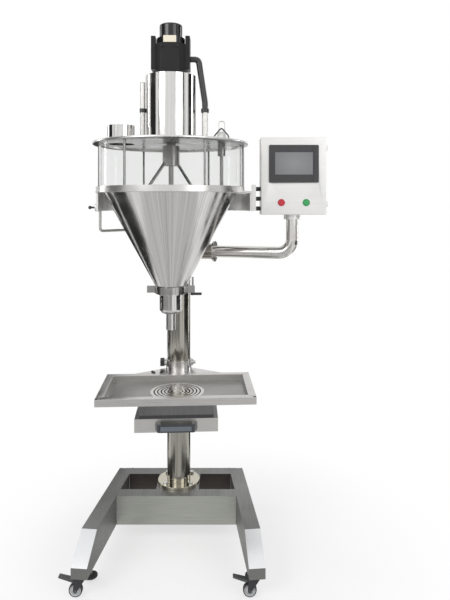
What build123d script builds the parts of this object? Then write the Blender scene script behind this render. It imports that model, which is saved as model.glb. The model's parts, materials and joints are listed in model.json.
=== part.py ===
"""Auger powder filler: a wheeled stand with a round column, a height-adjustable table with a
powder drawer, and a hopper head with an auger, a stirrer, a servo drive and a control box.

Millimetres, +Z up, the front faces -Y. The origin lies under the middle of the whole machine,
on the floor. Places are given from the column's axis, x to the right and y to the back.
"""
import os
from math import cos, radians, sin, sqrt, tan

from build123d import *

os.makedirs("parts", exist_ok=True)

# Clearances
SLIDE_CLEARANCE = 0.05
PIN_CLEARANCE = 0.05
BODY_GAP = 0.4
BOLT_CLEARANCE = 0.3

# Base frame: two splayed legs of box section, two cross beams and a deck plate
LEG_WIDTH = 60
LEG_BOTTOM_Z = 80
LEG_HEIGHT = 120
LEG_WALL = 3
LEG_SPLAY = 6
LEG_SPREAD = 267.5
LEG_FRONT = 499
LEG_BACK = 239
LEG_TOE_HEIGHT = 40
LEG_SLANT_LENGTH = 113
BEAM_WIDTH = 60
FRONT_BEAM_Y = -105
REAR_BEAM_Y = 98
DECK_WIDTH = 184
DECK_THICKNESS = 12
VENT_RADIUS = 5

# Column
COLUMN_RADIUS = 50.8
COLUMN_WALL = 4
COLUMN_TOP_Z = 1290
FLANGE_RADIUS = 91.5
FLANGE_THICKNESS = 12
FLANGE_BOLT_RADIUS = 75
FLANGE_BOLTS = 4
CAP_THICKNESS = 4
CAP_DEPTH = 20

# Casters and levelling feet
CASTER_FRONT_Y = -463
CASTER_BACK_Y = 205
WHEEL_RADIUS = 25
WHEEL_WIDTH = 20
TYRE_THICKNESS = 5
AXLE_RADIUS = 4
CASTER_TRAIL = 22
KINGPIN_RADIUS = 5
SWIVEL_DISC_RADIUS = 22
SWIVEL_DISC_THICKNESS = 5
FORK_PLATE = 3
FORK_TOP_THICKNESS = 4
PEDAL_REACH = 84
PEDAL_PIVOT_X = -26
PEDAL_PIVOT_Z = 60
PEDAL_PIN_RADIUS = 2.5
PEDAL_THICKNESS = 6
PEDAL_RISE = 11
STEM_RADIUS = 6
STEM_LENGTH = 20
FOOT_FRONT_Y = -367
FOOT_BACK_Y = 108
FOOT_PAD_RADIUS = 26
FOOT_PAD_HEIGHT = 12
FOOT_LIFT = 12
FOOT_STUD_RADIUS = 6
FOOT_STUD_TOP_Z = 112
NUT_WIDTH = 19
NUT_HEIGHT = 11
BOLT_RADIUS = 6
BOLT_HEAD_HEIGHT = 8

# Table with tray, strainer disc and drawer
TABLE_Y = -248
TABLE_YAW = 3
TRAY_WIDTH = 603
TRAY_DEPTH = 330
TRAY_TOP_Z = 701
TRAY_HEIGHT = 28
TRAY_SHEET = 3
TRAY_RIM = 30
TRAY_HOLE_RADIUS = 108
TABLE_COLLAR_RADIUS = 57
TABLE_COLLAR_TOP_Z = 741
TABLE_PLATE = 8
TABLE_COVER_SHEET = 4
TABLE_ARM_X = 165
TABLE_ARM_WIDTH = 36
TABLE_ARM_FRONT = 40
STRAINER_LEDGE = 8
STRAINER_FIRST_RING = 22
STRAINER_RING_STEP = 14
STRAINER_RINGS = 6
STRAINER_SLOT = 5
STRAINER_BAR = 16
CATCH_BOX_WIDTH = 282
CATCH_BOX_DEPTH = 224
CATCH_BOX_BOTTOM_Z = 614
CATCH_BOX_WALL = 2
DRAWER_FRONT_WIDTH = 316
DRAWER_FRONT_HEIGHT = 51
DRAWER_FRONT_THICKNESS = 3
DRAWER_FRONT_Y = -380
DRAWER_DEPTH = 234
DRAWER_WALL = 2
RUNNER_LIP = 12
HANDLE_WIDTH = 160
HANDLE_BAR = 16
HANDLE_REACH = 32
HANDLE_FOOT_WIDTH = 22
HANDLE_BOTTOM_Z = 572
HANDLE_HEIGHT = 30
HANDLE_EDGE = 3
CLAMP_KNOB_Z = 726
CLAMP_KNOB_RADIUS = 14
CLAMP_KNOB_LENGTH = 18
CLAMP_STUD_RADIUS = 5
CLAMP_BOSS = 6
CLAMP_NUT_RADIUS = 8
CLAMP_NUT_LENGTH = 10
KNOB_LOBES = 5

# Hopper
HOPPER_X = -12
HOPPER_Y = -248
CONE_BOTTOM_RADIUS = 62
CONE_BOTTOM_Z = 1099
CONE_TOP_RADIUS = 263
CONE_TOP_Z = 1469
CONE_WALL = 2
RING_RADIUS = 294
RING_TOP_Z = 1493
WINDOW_RADIUS = 282
WINDOW_WALL = 4
LID_RADIUS = 307.5
LID_BOTTOM_Z = 1657
LID_TOP_Z = 1667
LID_ROLL = 4
LID_SHEET = 3
LUG_COUNT = 3
LUG_MIDDLE_RADIUS = 293
LUG_LENGTH = 34
LUG_WIDTH = 40
LUG_THICKNESS = 8
POST_COUNT = 6
POST_CIRCLE = 288
POST_RADIUS = 4.5
POST_START_ANGLE = 0
INLET_X = -200
INLET_RADIUS = 55
INLET_HEIGHT = 70
INLET_WALL = 2
SENSOR_X = 202
SENSOR_RADIUS = 15.5
SENSOR_BOTTOM_Z = 1616
SENSOR_ROD_RADIUS = 7
SENSOR_ROD_BOTTOM_Z = 1440
SENSOR_CAP_RADIUS = 20
SENSOR_CAP_HEIGHT = 46

# Outlet below the cone
CLAMP_RING_BOTTOM_Z = 1071
CLAMP_RING_WALL = 5
NECK_WALL = 4
NECK_RADIUS = 60
CLAMP_EAR_LENGTH = 30
CLAMP_EAR_THICKNESS = 14
CLAMP_BOLT_X = 87
CLAMP_BOLT_RADIUS = 4
CLAMP_BOLT_TOP_Z = 1133
LEVER_BOTTOM_Z = 1061
LEVER_EYE_RADIUS = 9
LEVER_LENGTH = 30
LEVER_RADIUS = 6
LEVER_EDGE = 2
NOZZLE_HOUSING_RADIUS = 45
NOZZLE_HOUSING_HEIGHT = 78
HOUSING_CORNER = 18
NOZZLE_RADIUS = 19
NOZZLE_WALL = 1.5
NOZZLE_LENGTH = 66
NOZZLE_FLOOR_THICKNESS = 6

# Auger, stirrer and drive
AUGER_CLEARANCE = 0.8
AUGER_PITCH = 36
AUGER_SHAFT_RADIUS = 7
AUGER_BLADE = 3
AUGER_TOP_Z = 1160
AUGER_SOCKET = 30
DRIVE_SHAFT_RADIUS = 10
DRIVE_SHAFT_TOP_Z = 1860
STIRRER_HUB_RADIUS = 34
STIRRER_HUB_BOTTOM_Z = 1577
STIRRER_SLEEVE_RADIUS = 20
STIRRER_SLEEVE_TOP_Z = 1758
STIRRER_ARMS = 2
STIRRER_ANGLE = 35
STIRRER_SHOULDER_X = 95
STIRRER_SHOULDER_Z = 1500
STIRRER_ELBOW_Z = 1400
STIRRER_BEND = 25
STIRRER_ARM_TOP_Z = 1590
STIRRER_ARM_RADIUS = 6
STIRRER_GAP = 18
STIRRER_BOTTOM_Z = 1180
HOUSING_RADIUS = 100
HOUSING_TOP_Z = 1934
HOUSING_WALL = 3
HOUSING_TOP_PLATE = 8
BEARING_RADIUS = 48
BEARING_HEIGHT = 60
COUPLING_RADIUS = 26
COUPLING_LENGTH = 54
MOTOR_SHAFT_RADIUS = 9
MOTOR_SHAFT_DEPTH = 50
SHELF_Z = 1760
SHELF_THICKNESS = 5
GEAR_MODULE = 2
GEAR_TEETH = 52
PINION_TEETH = 14
GEAR_BOTTOM_Z = 1736
GEAR_HEIGHT = 16
GEAR_ROOT = 1.2
GEAR_TIP = 0.8
GEAR_FLANK = 0.364
GEAR_TOOTH_SHARE = 1.3
STIRRER_MOTOR_RADIUS = 28
STIRRER_MOTOR_HEIGHT = 120
PINION_SHAFT_RADIUS = 5
CONDUIT_RADIUS = 11
CONDUIT_X = 110
CONDUIT_BEND = 17
CONDUIT_RISE = 69
CONDUIT_FOOT = 24
MOTOR_WIDTH = 118
MOTOR_CORNER = 24
MOTOR_HEIGHT = 123
MOTOR_FLANGE_WIDTH = 130
MOTOR_FLANGE_THICKNESS = 12
ENCODER_BASE_RADIUS = 56
ENCODER_BASE_HEIGHT = 27
ENCODER_RADIUS = 45.5
ENCODER_HEIGHT = 83
ENCODER_EDGE = 7
CONNECTOR_WIDTH = 18
CONNECTOR_DEPTH = 62
CONNECTOR_RISE = 23
CONNECTOR_OVER = 33
LEFT_POST_X = -113
LEFT_POST_RADIUS = 10
LEFT_COLLAR_RADIUS = 12.5
LEFT_POST_TOP_Z = 1912
RIGHT_POST_X = 136
RIGHT_POST_RADIUS = 12
RIGHT_COLLAR_RADIUS = 16
POST_COLLAR_Z = 1790
POST_COLLAR_HEIGHT = 16

# Lift carriage on the column, with the yoke behind the hopper
SLEEVE_RADIUS = 65
SLEEVE_BOTTOM_Z = 1125
MAST_WIDTH = 90
MAST_DEPTH = 30
ARM_STUB_RADIUS = 34
YOKE_INNER_RADIUS = 304
YOKE_THICKNESS = 8
YOKE_HEIGHT = 72
HINGE_STRIP_WIDTH = 18
HINGE_STRIP_THICKNESS = 6
HINGE_STRIP_OVER = 33
HINGE_STRIP_LAP = 2
BRACE_RADIUS = 5.5
BRACE_DROP = 82
BRACE_OFFSET = 44
BRACE_CORNER = 14
LATCH_Z = 1411
LATCH_DISC_RADIUS = 16
LATCH_DISC_THICKNESS = 6
LATCH_STEM_RADIUS = 4
LATCH_STEM_LENGTH = 22
LATCH_BALL_RADIUS = 7

# Control arm and control box
ARM_YAW = 15
ARM_Z = 1219
ARM_RADIUS = 25.4
ARM_WALL = 2
ARM_FLANGE_RADIUS = 45
ARM_FLANGE_THICKNESS = 7
ARM_FLANGE_REACH = 160
ARM_BEND_RADIUS = 60
BOX_X = 486
BOX_WIDTH = 267
BOX_HEIGHT = 318
BOX_DEPTH = 120
BOX_BOTTOM_Z = 1381
BOX_WALL = 2
BOX_COLLAR_RADIUS = 34.5
BOX_COLLAR_HEIGHT = 20
DOOR_THICKNESS = 15
DOOR_CORNER = 3
DOOR_EDGE = 1.5
DOOR_RIM = 12
HINGE_RADIUS = 4
HINGE_PIN_RADIUS = 2
HINGE_KNUCKLE = 12
HINGE_INSET = 45
SCREEN_WIDTH = 204
SCREEN_HEIGHT = 154
SCREEN_PROUD = 8
SCREEN_CORNER = 5
SCREEN_BODY_DEPTH = 32
SCREEN_BODY_MARGIN = 6
SCREEN_CENTRE_Z = 1590
BUTTON_SPACING = 102
BUTTON_Z = 1431
BUTTON_RADIUS = 11
BUTTON_BEZEL_RADIUS = 15
BUTTON_BEZEL_HEIGHT = 4
BUTTON_PROUD = 9
BUTTON_EDGE = 1.5
BEZEL_WALL = 2
BUTTON_TRAVEL = 4
BUTTON_BODY_LENGTH = 40
GLAND_RADIUS = 9
GLAND_STEM_RADIUS = 6
GLAND_EDGE = 3
GLAND_LENGTH = 22
GLAND_COUNT = 3
GLAND_TOP_Z = 1488
GLAND_STEP = 41


def leg_centre_x(y):
    """Distance of a leg's middle from the column's axis, at a place along the machine."""
    return LEG_SPREAD - y * tan(radians(LEG_SPLAY))


# Places that follow from the sizes above
FRONT_REACH = LID_RADIUS - HOPPER_Y
BACK_REACH = LEG_BACK * cos(radians(LEG_SPLAY)) + LEG_WIDTH / 2 * sin(radians(LEG_SPLAY))
LEFT_REACH = leg_centre_x(CASTER_FRONT_Y) + PEDAL_REACH
RIGHT_REACH = BOX_X + BOX_WIDTH / 2 + 2 * HINGE_RADIUS
COLUMN_X = (LEFT_REACH - RIGHT_REACH) / 2
COLUMN_Y = (FRONT_REACH - BACK_REACH) / 2
DECK_Z = LEG_BOTTOM_Z + LEG_HEIGHT
FLANGE_TOP_Z = DECK_Z + FLANGE_THICKNESS
BOX_Y = -BOX_X * tan(radians(ARM_YAW))
BOX_FRONT_Y = BOX_Y - BOX_DEPTH / 2
BOX_TOP_Z = BOX_BOTTOM_Z + BOX_HEIGHT
BOX_LEFT_X = BOX_X - BOX_WIDTH / 2
BOX_RIGHT_X = BOX_X + BOX_WIDTH / 2
DOOR_BACK_Y = BOX_FRONT_Y + DOOR_THICKNESS
TRAY_BOTTOM_Z = TRAY_TOP_Z - TRAY_HEIGHT
NOZZLE_HOUSING_BOTTOM_Z = CLAMP_RING_BOTTOM_Z - NECK_WALL - NOZZLE_HOUSING_HEIGHT
NOZZLE_BOTTOM_Z = NOZZLE_HOUSING_BOTTOM_Z - NOZZLE_LENGTH
MOTOR_TOP_Z = HOUSING_TOP_Z + MOTOR_HEIGHT
ENCODER_TOP_Z = MOTOR_TOP_Z + ENCODER_HEIGHT
CONDUIT_TOP_Z = HOUSING_TOP_Z + CONDUIT_RISE
COLLARS_TOP_Z = POST_COLLAR_Z + POST_COLLAR_HEIGHT
STRAINER_RADIUS = TRAY_HOLE_RADIUS - BODY_GAP
YOKE_TOP_Z = CONE_TOP_Z
YOKE_BOTTOM_Z = YOKE_TOP_Z - YOKE_HEIGHT
YOKE_OUTER_RADIUS = YOKE_INNER_RADIUS + YOKE_THICKNESS
YOKE_MID_RADIUS = YOKE_INNER_RADIUS + YOKE_THICKNESS / 2
YOKE_BACK_Y = HOPPER_Y + YOKE_MID_RADIUS
MAST_BACK_Y = YOKE_BACK_Y + MAST_DEPTH
LATCH_Y = HOPPER_Y + LATCH_DISC_RADIUS
BRACE_Y = HOPPER_Y + BRACE_OFFSET
BRACE_X = -sqrt(YOKE_MID_RADIUS**2 - BRACE_OFFSET**2)
LEFT, RIGHT = -1, 1
SIDES = {"left": LEFT, "right": RIGHT}
CORNERS = {
    "front_left": (LEFT, CASTER_FRONT_Y, FOOT_FRONT_Y),
    "front_right": (RIGHT, CASTER_FRONT_Y, FOOT_FRONT_Y),
    "rear_left": (LEFT, CASTER_BACK_Y, FOOT_BACK_Y),
    "rear_right": (RIGHT, CASTER_BACK_Y, FOOT_BACK_Y),
}


def floor_plane(x, y, z):
    """A level plane at a place given from the column's axis, facing up."""
    return Plane((COLUMN_X + x, COLUMN_Y + y, z))


def front_plane(x, y, z=0):
    """An upright plane facing the front, with its own x to the right and y up."""
    return Plane((COLUMN_X + x, COLUMN_Y + y, z), x_dir=(1, 0, 0), z_dir=(0, -1, 0))


def side_plane(x, y, z=0):
    """An upright plane facing right, with its own x to the back and y up."""
    return Plane((COLUMN_X + x, COLUMN_Y + y, z), x_dir=(0, 1, 0), z_dir=(1, 0, 0))


def upright_axis(x, y):
    return Axis((COLUMN_X + x, COLUMN_Y + y, 0), (0, 0, 1))


def save(builder, name, turn=0):
    """Write one solid, turned about the column by an angle."""
    piece = builder.part.rotate(upright_axis(0, 0), turn) if turn else builder.part
    piece.label = name
    export_step(piece, f"parts/{name}.step")


def save_group(builders, name):
    """Write separate solids that stay together as one node."""
    solids = [solid for builder in builders for solid in builder.part.solids()]
    group = Compound(children=solids, label=name)
    export_step(group, f"parts/{name}.step")


# Base frame
LEG_FACE_X = LEG_WIDTH / 2 / cos(radians(LEG_SPLAY))

def leg_side(side, inset):
    """The side view of a leg with its slanted ends, drawn on the leg's middle plane."""
    along = (side * sin(radians(LEG_SPLAY)), -cos(radians(LEG_SPLAY)), 0)
    across = (along[1], -along[0], 0)
    leg_plane = Plane((COLUMN_X + side * LEG_SPREAD, COLUMN_Y, 0), x_dir=along, z_dir=across)
    toe_z = LEG_BOTTOM_Z + LEG_TOE_HEIGHT
    with BuildSketch(leg_plane) as side_view:
        with BuildLine():
            Polyline(
                (-LEG_BACK, LEG_BOTTOM_Z),
                (LEG_FRONT, LEG_BOTTOM_Z),
                (LEG_FRONT, toe_z),
                (LEG_FRONT - LEG_SLANT_LENGTH, DECK_Z),
                (-LEG_BACK + LEG_SLANT_LENGTH, DECK_Z),
                (-LEG_BACK, toe_z),
                close=True,
            )
        make_face()
        if inset:
            offset(amount=-inset, kind=Kind.INTERSECTION, mode=Mode.REPLACE)
    return side_view.sketch


with BuildPart() as base_frame:
    for side in SIDES.values():
        extrude(leg_side(side, 0), amount=LEG_WIDTH / 2, both=True)
    for beam_y in (FRONT_BEAM_Y, REAR_BEAM_Y):
        with BuildSketch(floor_plane(0, beam_y, LEG_BOTTOM_Z)):
            Rectangle(2 * leg_centre_x(beam_y), BEAM_WIDTH)
        extrude(amount=LEG_HEIGHT)
    deck_front = FRONT_BEAM_Y + BEAM_WIDTH / 2
    deck_back = REAR_BEAM_Y - BEAM_WIDTH / 2
    with BuildSketch(floor_plane(0, (deck_front + deck_back) / 2, DECK_Z)):
        Rectangle(DECK_WIDTH, deck_back - deck_front)
    extrude(amount=-DECK_THICKNESS)
    for side in SIDES.values():
        inside = LEG_WIDTH / 2 - LEG_WALL
        extrude(leg_side(side, LEG_WALL), amount=inside, both=True, mode=Mode.SUBTRACT)
    for beam_y in (FRONT_BEAM_Y, REAR_BEAM_Y):
        beam_inside = 2 * (leg_centre_x(beam_y + BEAM_WIDTH / 2) - LEG_FACE_X - LEG_WALL)
        with BuildSketch(floor_plane(0, beam_y, LEG_BOTTOM_Z + LEG_WALL)):
            Rectangle(beam_inside, BEAM_WIDTH - 2 * LEG_WALL)
        extrude(amount=LEG_HEIGHT - 2 * LEG_WALL, mode=Mode.SUBTRACT)
        with BuildSketch(floor_plane(0, beam_y, LEG_BOTTOM_Z)):
            Circle(VENT_RADIUS)
        extrude(amount=LEG_WALL, mode=Mode.SUBTRACT)
    for side, caster_y, foot_y in CORNERS.values():
        with BuildSketch(floor_plane(side * leg_centre_x(caster_y), caster_y, LEG_BOTTOM_Z)):
            Circle(STEM_RADIUS + BOLT_CLEARANCE)
        extrude(amount=LEG_WALL, mode=Mode.SUBTRACT)
        with BuildSketch(floor_plane(side * leg_centre_x(foot_y), foot_y, LEG_BOTTOM_Z)):
            Circle(FOOT_STUD_RADIUS + SLIDE_CLEARANCE)
        extrude(amount=LEG_WALL, mode=Mode.SUBTRACT)
    with BuildSketch(floor_plane(0, 0, DECK_Z)):
        with PolarLocations(FLANGE_BOLT_RADIUS, FLANGE_BOLTS, start_angle=45):
            Circle(BOLT_RADIUS + BOLT_CLEARANCE)
    extrude(amount=-DECK_THICKNESS, mode=Mode.SUBTRACT)
save(base_frame, "base_frame")

# Column: foot flange, tube standing on it, and the cap in its open end
with BuildPart() as column_flange:
    with BuildSketch(floor_plane(0, 0, DECK_Z)):
        Circle(FLANGE_RADIUS)
        with PolarLocations(FLANGE_BOLT_RADIUS, FLANGE_BOLTS, start_angle=45):
            Circle(BOLT_RADIUS + BOLT_CLEARANCE, mode=Mode.SUBTRACT)
    extrude(amount=FLANGE_THICKNESS)

with BuildPart() as column_tube:
    with BuildSketch(floor_plane(0, 0, FLANGE_TOP_Z)):
        Circle(COLUMN_RADIUS)
        Circle(COLUMN_RADIUS - COLUMN_WALL, mode=Mode.SUBTRACT)
    extrude(amount=COLUMN_TOP_Z - FLANGE_TOP_Z)

with BuildPart() as column_cap:
    with BuildSketch(floor_plane(0, 0, COLUMN_TOP_Z)):
        Circle(COLUMN_RADIUS)
    extrude(amount=CAP_THICKNESS)
    with BuildSketch(floor_plane(0, 0, COLUMN_TOP_Z)):
        Circle(COLUMN_RADIUS - COLUMN_WALL - BOLT_CLEARANCE)
    extrude(amount=-CAP_DEPTH)
save_group([column_flange, column_tube, column_cap], "column")

with BuildPart() as flange_bolts:
    with BuildSketch(floor_plane(0, 0, FLANGE_TOP_Z)):
        with PolarLocations(FLANGE_BOLT_RADIUS, FLANGE_BOLTS, start_angle=45):
            RegularPolygon(NUT_WIDTH / 2, 6, major_radius=False)
    extrude(amount=BOLT_HEAD_HEIGHT)
    with BuildSketch(floor_plane(0, 0, FLANGE_TOP_Z)):
        with PolarLocations(FLANGE_BOLT_RADIUS, FLANGE_BOLTS, start_angle=45):
            Circle(BOLT_RADIUS)
    extrude(amount=-(FLANGE_THICKNESS + DECK_THICKNESS))
    with BuildSketch(floor_plane(0, 0, DECK_Z - DECK_THICKNESS)):
        with PolarLocations(FLANGE_BOLT_RADIUS, FLANGE_BOLTS, start_angle=45):
            RegularPolygon(NUT_WIDTH / 2, 6, major_radius=False)
    extrude(amount=-NUT_HEIGHT)

# Caster stems: threaded stem, swivel disc and kingpin, fixed in the legs
DISC_BOTTOM_Z = LEG_BOTTOM_Z - SWIVEL_DISC_THICKNESS
FORK_TOP_Z = DISC_BOTTOM_Z - BODY_GAP
FORK_CROWN_Z = FORK_TOP_Z - FORK_TOP_THICKNESS
KINGPIN_HEAD_Z = FORK_CROWN_Z - BODY_GAP
KINGPIN_HEAD_RADIUS = KINGPIN_RADIUS + FORK_PLATE
FORK_INSIDE = WHEEL_WIDTH / 2 + BODY_GAP
FORK_OUTSIDE = FORK_INSIDE + FORK_PLATE

with BuildPart() as caster_stems:
    for side, caster_y, foot_y in CORNERS.values():
        caster_x = side * leg_centre_x(caster_y)
        with BuildSketch(floor_plane(caster_x, caster_y, LEG_BOTTOM_Z)):
            Circle(STEM_RADIUS)
        extrude(amount=STEM_LENGTH)
        with BuildSketch(floor_plane(caster_x, caster_y, LEG_BOTTOM_Z)):
            Circle(SWIVEL_DISC_RADIUS)
        extrude(amount=-SWIVEL_DISC_THICKNESS)
        with BuildSketch(floor_plane(caster_x, caster_y, DISC_BOTTOM_Z)):
            Circle(KINGPIN_RADIUS)
        extrude(amount=KINGPIN_HEAD_Z - DISC_BOTTOM_Z)
        with BuildSketch(floor_plane(caster_x, caster_y, KINGPIN_HEAD_Z)):
            Circle(KINGPIN_HEAD_RADIUS)
        extrude(amount=-FORK_PLATE)

# Casters: fork with axle and pedal pin, wheel, brake pedal
for corner, (side, caster_y, foot_y) in CORNERS.items():
    caster_x = side * leg_centre_x(caster_y)
    axle_x = caster_x - CASTER_TRAIL
    pivot_x = caster_x + PEDAL_PIVOT_X
    wheel_plane = front_plane(axle_x, caster_y, WHEEL_RADIUS)
    pivot_plane = front_plane(pivot_x, caster_y, PEDAL_PIVOT_Z)

    with BuildPart() as fork:
        with BuildSketch(floor_plane(caster_x, caster_y, FORK_CROWN_Z)):
            Circle(SWIVEL_DISC_RADIUS)
            Circle(KINGPIN_RADIUS + PIN_CLEARANCE, mode=Mode.SUBTRACT)
        extrude(amount=FORK_TOP_THICKNESS)
        for outward in SIDES.values():
            plate_middle = outward * (FORK_INSIDE + FORK_OUTSIDE) / 2
            with BuildSketch(front_plane(caster_x, caster_y + plate_middle)) as fork_side:
                with BuildLine():
                    top_left = (-SWIVEL_DISC_RADIUS - FORK_PLATE, FORK_CROWN_Z)
                    top_right = (SWIVEL_DISC_RADIUS - 2 * FORK_PLATE, FORK_CROWN_Z)
                    axle_right = (-CASTER_TRAIL + 2 * AXLE_RADIUS, WHEEL_RADIUS)
                    axle_left = (-CASTER_TRAIL - 2 * AXLE_RADIUS, WHEEL_RADIUS)
                    Line(axle_left, top_left)
                    Line(top_left, top_right)
                    Line(top_right, axle_right)
                    RadiusArc(axle_right, axle_left, 2 * AXLE_RADIUS)
                make_face()
            extrude(amount=FORK_PLATE / 2, both=True)
            with BuildSketch(front_plane(pivot_x, caster_y + plate_middle, PEDAL_PIVOT_Z)):
                Circle(2 * PEDAL_PIN_RADIUS)
            extrude(amount=FORK_PLATE / 2, both=True)
        with BuildSketch(wheel_plane):
            Circle(AXLE_RADIUS)
        extrude(amount=FORK_OUTSIDE + FORK_PLATE, both=True)
        with BuildSketch(pivot_plane):
            Circle(PEDAL_PIN_RADIUS)
        extrude(amount=FORK_OUTSIDE, both=True)
    save(fork, f"caster_fork_{corner}")

    with BuildPart() as wheel:
        with BuildSketch(wheel_plane):
            Circle(WHEEL_RADIUS)
            Circle(AXLE_RADIUS + PIN_CLEARANCE, mode=Mode.SUBTRACT)
        extrude(amount=WHEEL_WIDTH / 2, both=True)
        tyre_edges = wheel.edges().filter_by(GeomType.CIRCLE).group_by(SortBy.RADIUS)[-1]
        fillet(tyre_edges, radius=TYRE_THICKNESS / 2)
    save(wheel, f"caster_wheel_{corner}")

    with BuildPart() as pedal:
        with BuildSketch(front_plane(caster_x, caster_y)):
            with BuildLine():
                tip_x = -PEDAL_REACH
                eye = 2 * PEDAL_PIN_RADIUS
                FilletPolyline(
                    (PEDAL_PIVOT_X + eye, PEDAL_PIVOT_Z - eye),
                    (PEDAL_PIVOT_X + eye, PEDAL_PIVOT_Z + eye),
                    (PEDAL_PIVOT_X - eye, PEDAL_PIVOT_Z + eye),
                    (tip_x, PEDAL_PIVOT_Z + PEDAL_RISE + PEDAL_THICKNESS),
                    (tip_x, PEDAL_PIVOT_Z + PEDAL_RISE),
                    (PEDAL_PIVOT_X - 2 * eye, PEDAL_PIVOT_Z - eye),
                    radius=PEDAL_PIN_RADIUS,
                    close=True,
                )
            make_face()
        extrude(amount=WHEEL_WIDTH / 2, both=True)
        with BuildSketch(pivot_plane):
            Circle(PEDAL_PIN_RADIUS + PIN_CLEARANCE)
        extrude(amount=WHEEL_WIDTH, both=True, mode=Mode.SUBTRACT)
    save(pedal, f"brake_pedal_{corner}")

# Levelling feet and the nuts that hold their studs
with BuildPart() as foot_nuts:
    for side, caster_y, foot_y in CORNERS.values():
        with BuildSketch(floor_plane(side * leg_centre_x(foot_y), foot_y, LEG_BOTTOM_Z)):
            RegularPolygon(NUT_WIDTH / 2, 6, major_radius=False)
            Circle(FOOT_STUD_RADIUS + SLIDE_CLEARANCE, mode=Mode.SUBTRACT)
        extrude(amount=-NUT_HEIGHT)
save_group([flange_bolts, caster_stems, foot_nuts], "frame_fasteners")

for corner, (side, caster_y, foot_y) in CORNERS.items():
    foot_x = side * leg_centre_x(foot_y)
    pad_top = FOOT_LIFT + FOOT_PAD_HEIGHT
    with BuildPart() as foot:
        with BuildSketch(front_plane(foot_x, foot_y)):
            with BuildLine():
                Polyline(
                    (0, FOOT_LIFT),
                    (FOOT_PAD_RADIUS, FOOT_LIFT),
                    (FOOT_PAD_RADIUS, FOOT_LIFT + FOOT_PAD_HEIGHT / 2),
                    (FOOT_PAD_RADIUS / 2, pad_top),
                    (FOOT_STUD_RADIUS, pad_top),
                    (FOOT_STUD_RADIUS, FOOT_STUD_TOP_Z),
                    (0, FOOT_STUD_TOP_Z),
                    close=True,
                )
            make_face()
        revolve(axis=upright_axis(foot_x, foot_y))
    save(foot, f"levelling_foot_{corner}")

# Table bracket: collar on the column, a folded cover behind the tray and two arms under the tray
TRAY_REAR_Y = TABLE_Y + TRAY_DEPTH / 2
TRAY_FRONT_Y = TABLE_Y - TRAY_DEPTH / 2
PLATE_BOTTOM_Z = TRAY_BOTTOM_Z - TABLE_PLATE
ARM_OUTSIDE_X = TABLE_ARM_X + TABLE_ARM_WIDTH / 2
TABLE_ARM_END_Y = TRAY_FRONT_Y + TABLE_ARM_FRONT
COVER_FRONT_Y = TRAY_REAR_Y + BODY_GAP
COVER_HEIGHT = TRAY_TOP_Z - PLATE_BOTTOM_Z


def cover_outline():
    """Seen from above: as wide as the collar at the column, as wide as the arms at the tray."""
    with BuildSketch(floor_plane(0, 0, PLATE_BOTTOM_Z)) as outline:
        with BuildLine():
            Polyline(
                (-TABLE_COLLAR_RADIUS, 0),
                (-ARM_OUTSIDE_X, COVER_FRONT_Y),
                (ARM_OUTSIDE_X, COVER_FRONT_Y),
                (TABLE_COLLAR_RADIUS, 0),
                close=True,
            )
        make_face()
    return outline.sketch


with BuildPart() as table_bracket:
    extrude(cover_outline(), amount=COVER_HEIGHT)
    with BuildSketch(floor_plane(0, 0, PLATE_BOTTOM_Z)):
        add(cover_outline())
        offset(amount=-TABLE_COVER_SHEET, kind=Kind.INTERSECTION, mode=Mode.REPLACE)
    extrude(amount=COVER_HEIGHT - TABLE_COVER_SHEET, mode=Mode.SUBTRACT)
    with BuildSketch(floor_plane(0, 0, PLATE_BOTTOM_Z)):
        Circle(TABLE_COLLAR_RADIUS)
    extrude(amount=TABLE_COLLAR_TOP_Z - PLATE_BOTTOM_Z)
    cross_y = COVER_FRONT_Y + TABLE_COVER_SHEET - TABLE_ARM_WIDTH / 2
    with BuildSketch(floor_plane(0, cross_y, PLATE_BOTTOM_Z)):
        Rectangle(2 * ARM_OUTSIDE_X, TABLE_ARM_WIDTH)
    extrude(amount=TABLE_PLATE)
    arm_length = COVER_FRONT_Y - TABLE_ARM_END_Y
    for side in SIDES.values():
        arm_middle_y = (COVER_FRONT_Y + TABLE_ARM_END_Y) / 2
        with BuildSketch(floor_plane(side * TABLE_ARM_X, arm_middle_y, PLATE_BOTTOM_Z)):
            Rectangle(TABLE_ARM_WIDTH, arm_length)
        extrude(amount=TABLE_PLATE)
        with BuildSketch(side_plane(0, 0, CLAMP_KNOB_Z)):
            Circle(CLAMP_KNOB_RADIUS)
        extrude(amount=side * (TABLE_COLLAR_RADIUS + CLAMP_BOSS))
    with BuildSketch(side_plane(TABLE_COLLAR_RADIUS + CLAMP_BOSS, 0, CLAMP_KNOB_Z)):
        RegularPolygon(CLAMP_NUT_RADIUS, 6)
    extrude(amount=CLAMP_NUT_LENGTH)
    with BuildSketch(floor_plane(0, 0, PLATE_BOTTOM_Z)):
        Circle(COLUMN_RADIUS + SLIDE_CLEARANCE)
    extrude(amount=TABLE_COLLAR_TOP_Z - PLATE_BOTTOM_Z, mode=Mode.SUBTRACT)
    with BuildSketch(side_plane(0, 0, CLAMP_KNOB_Z)):
        Circle(CLAMP_STUD_RADIUS + PIN_CLEARANCE)
    extrude(amount=-TABLE_COLLAR_RADIUS - CLAMP_BOSS, mode=Mode.SUBTRACT)
save(table_bracket, "table_bracket", TABLE_YAW)

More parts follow.
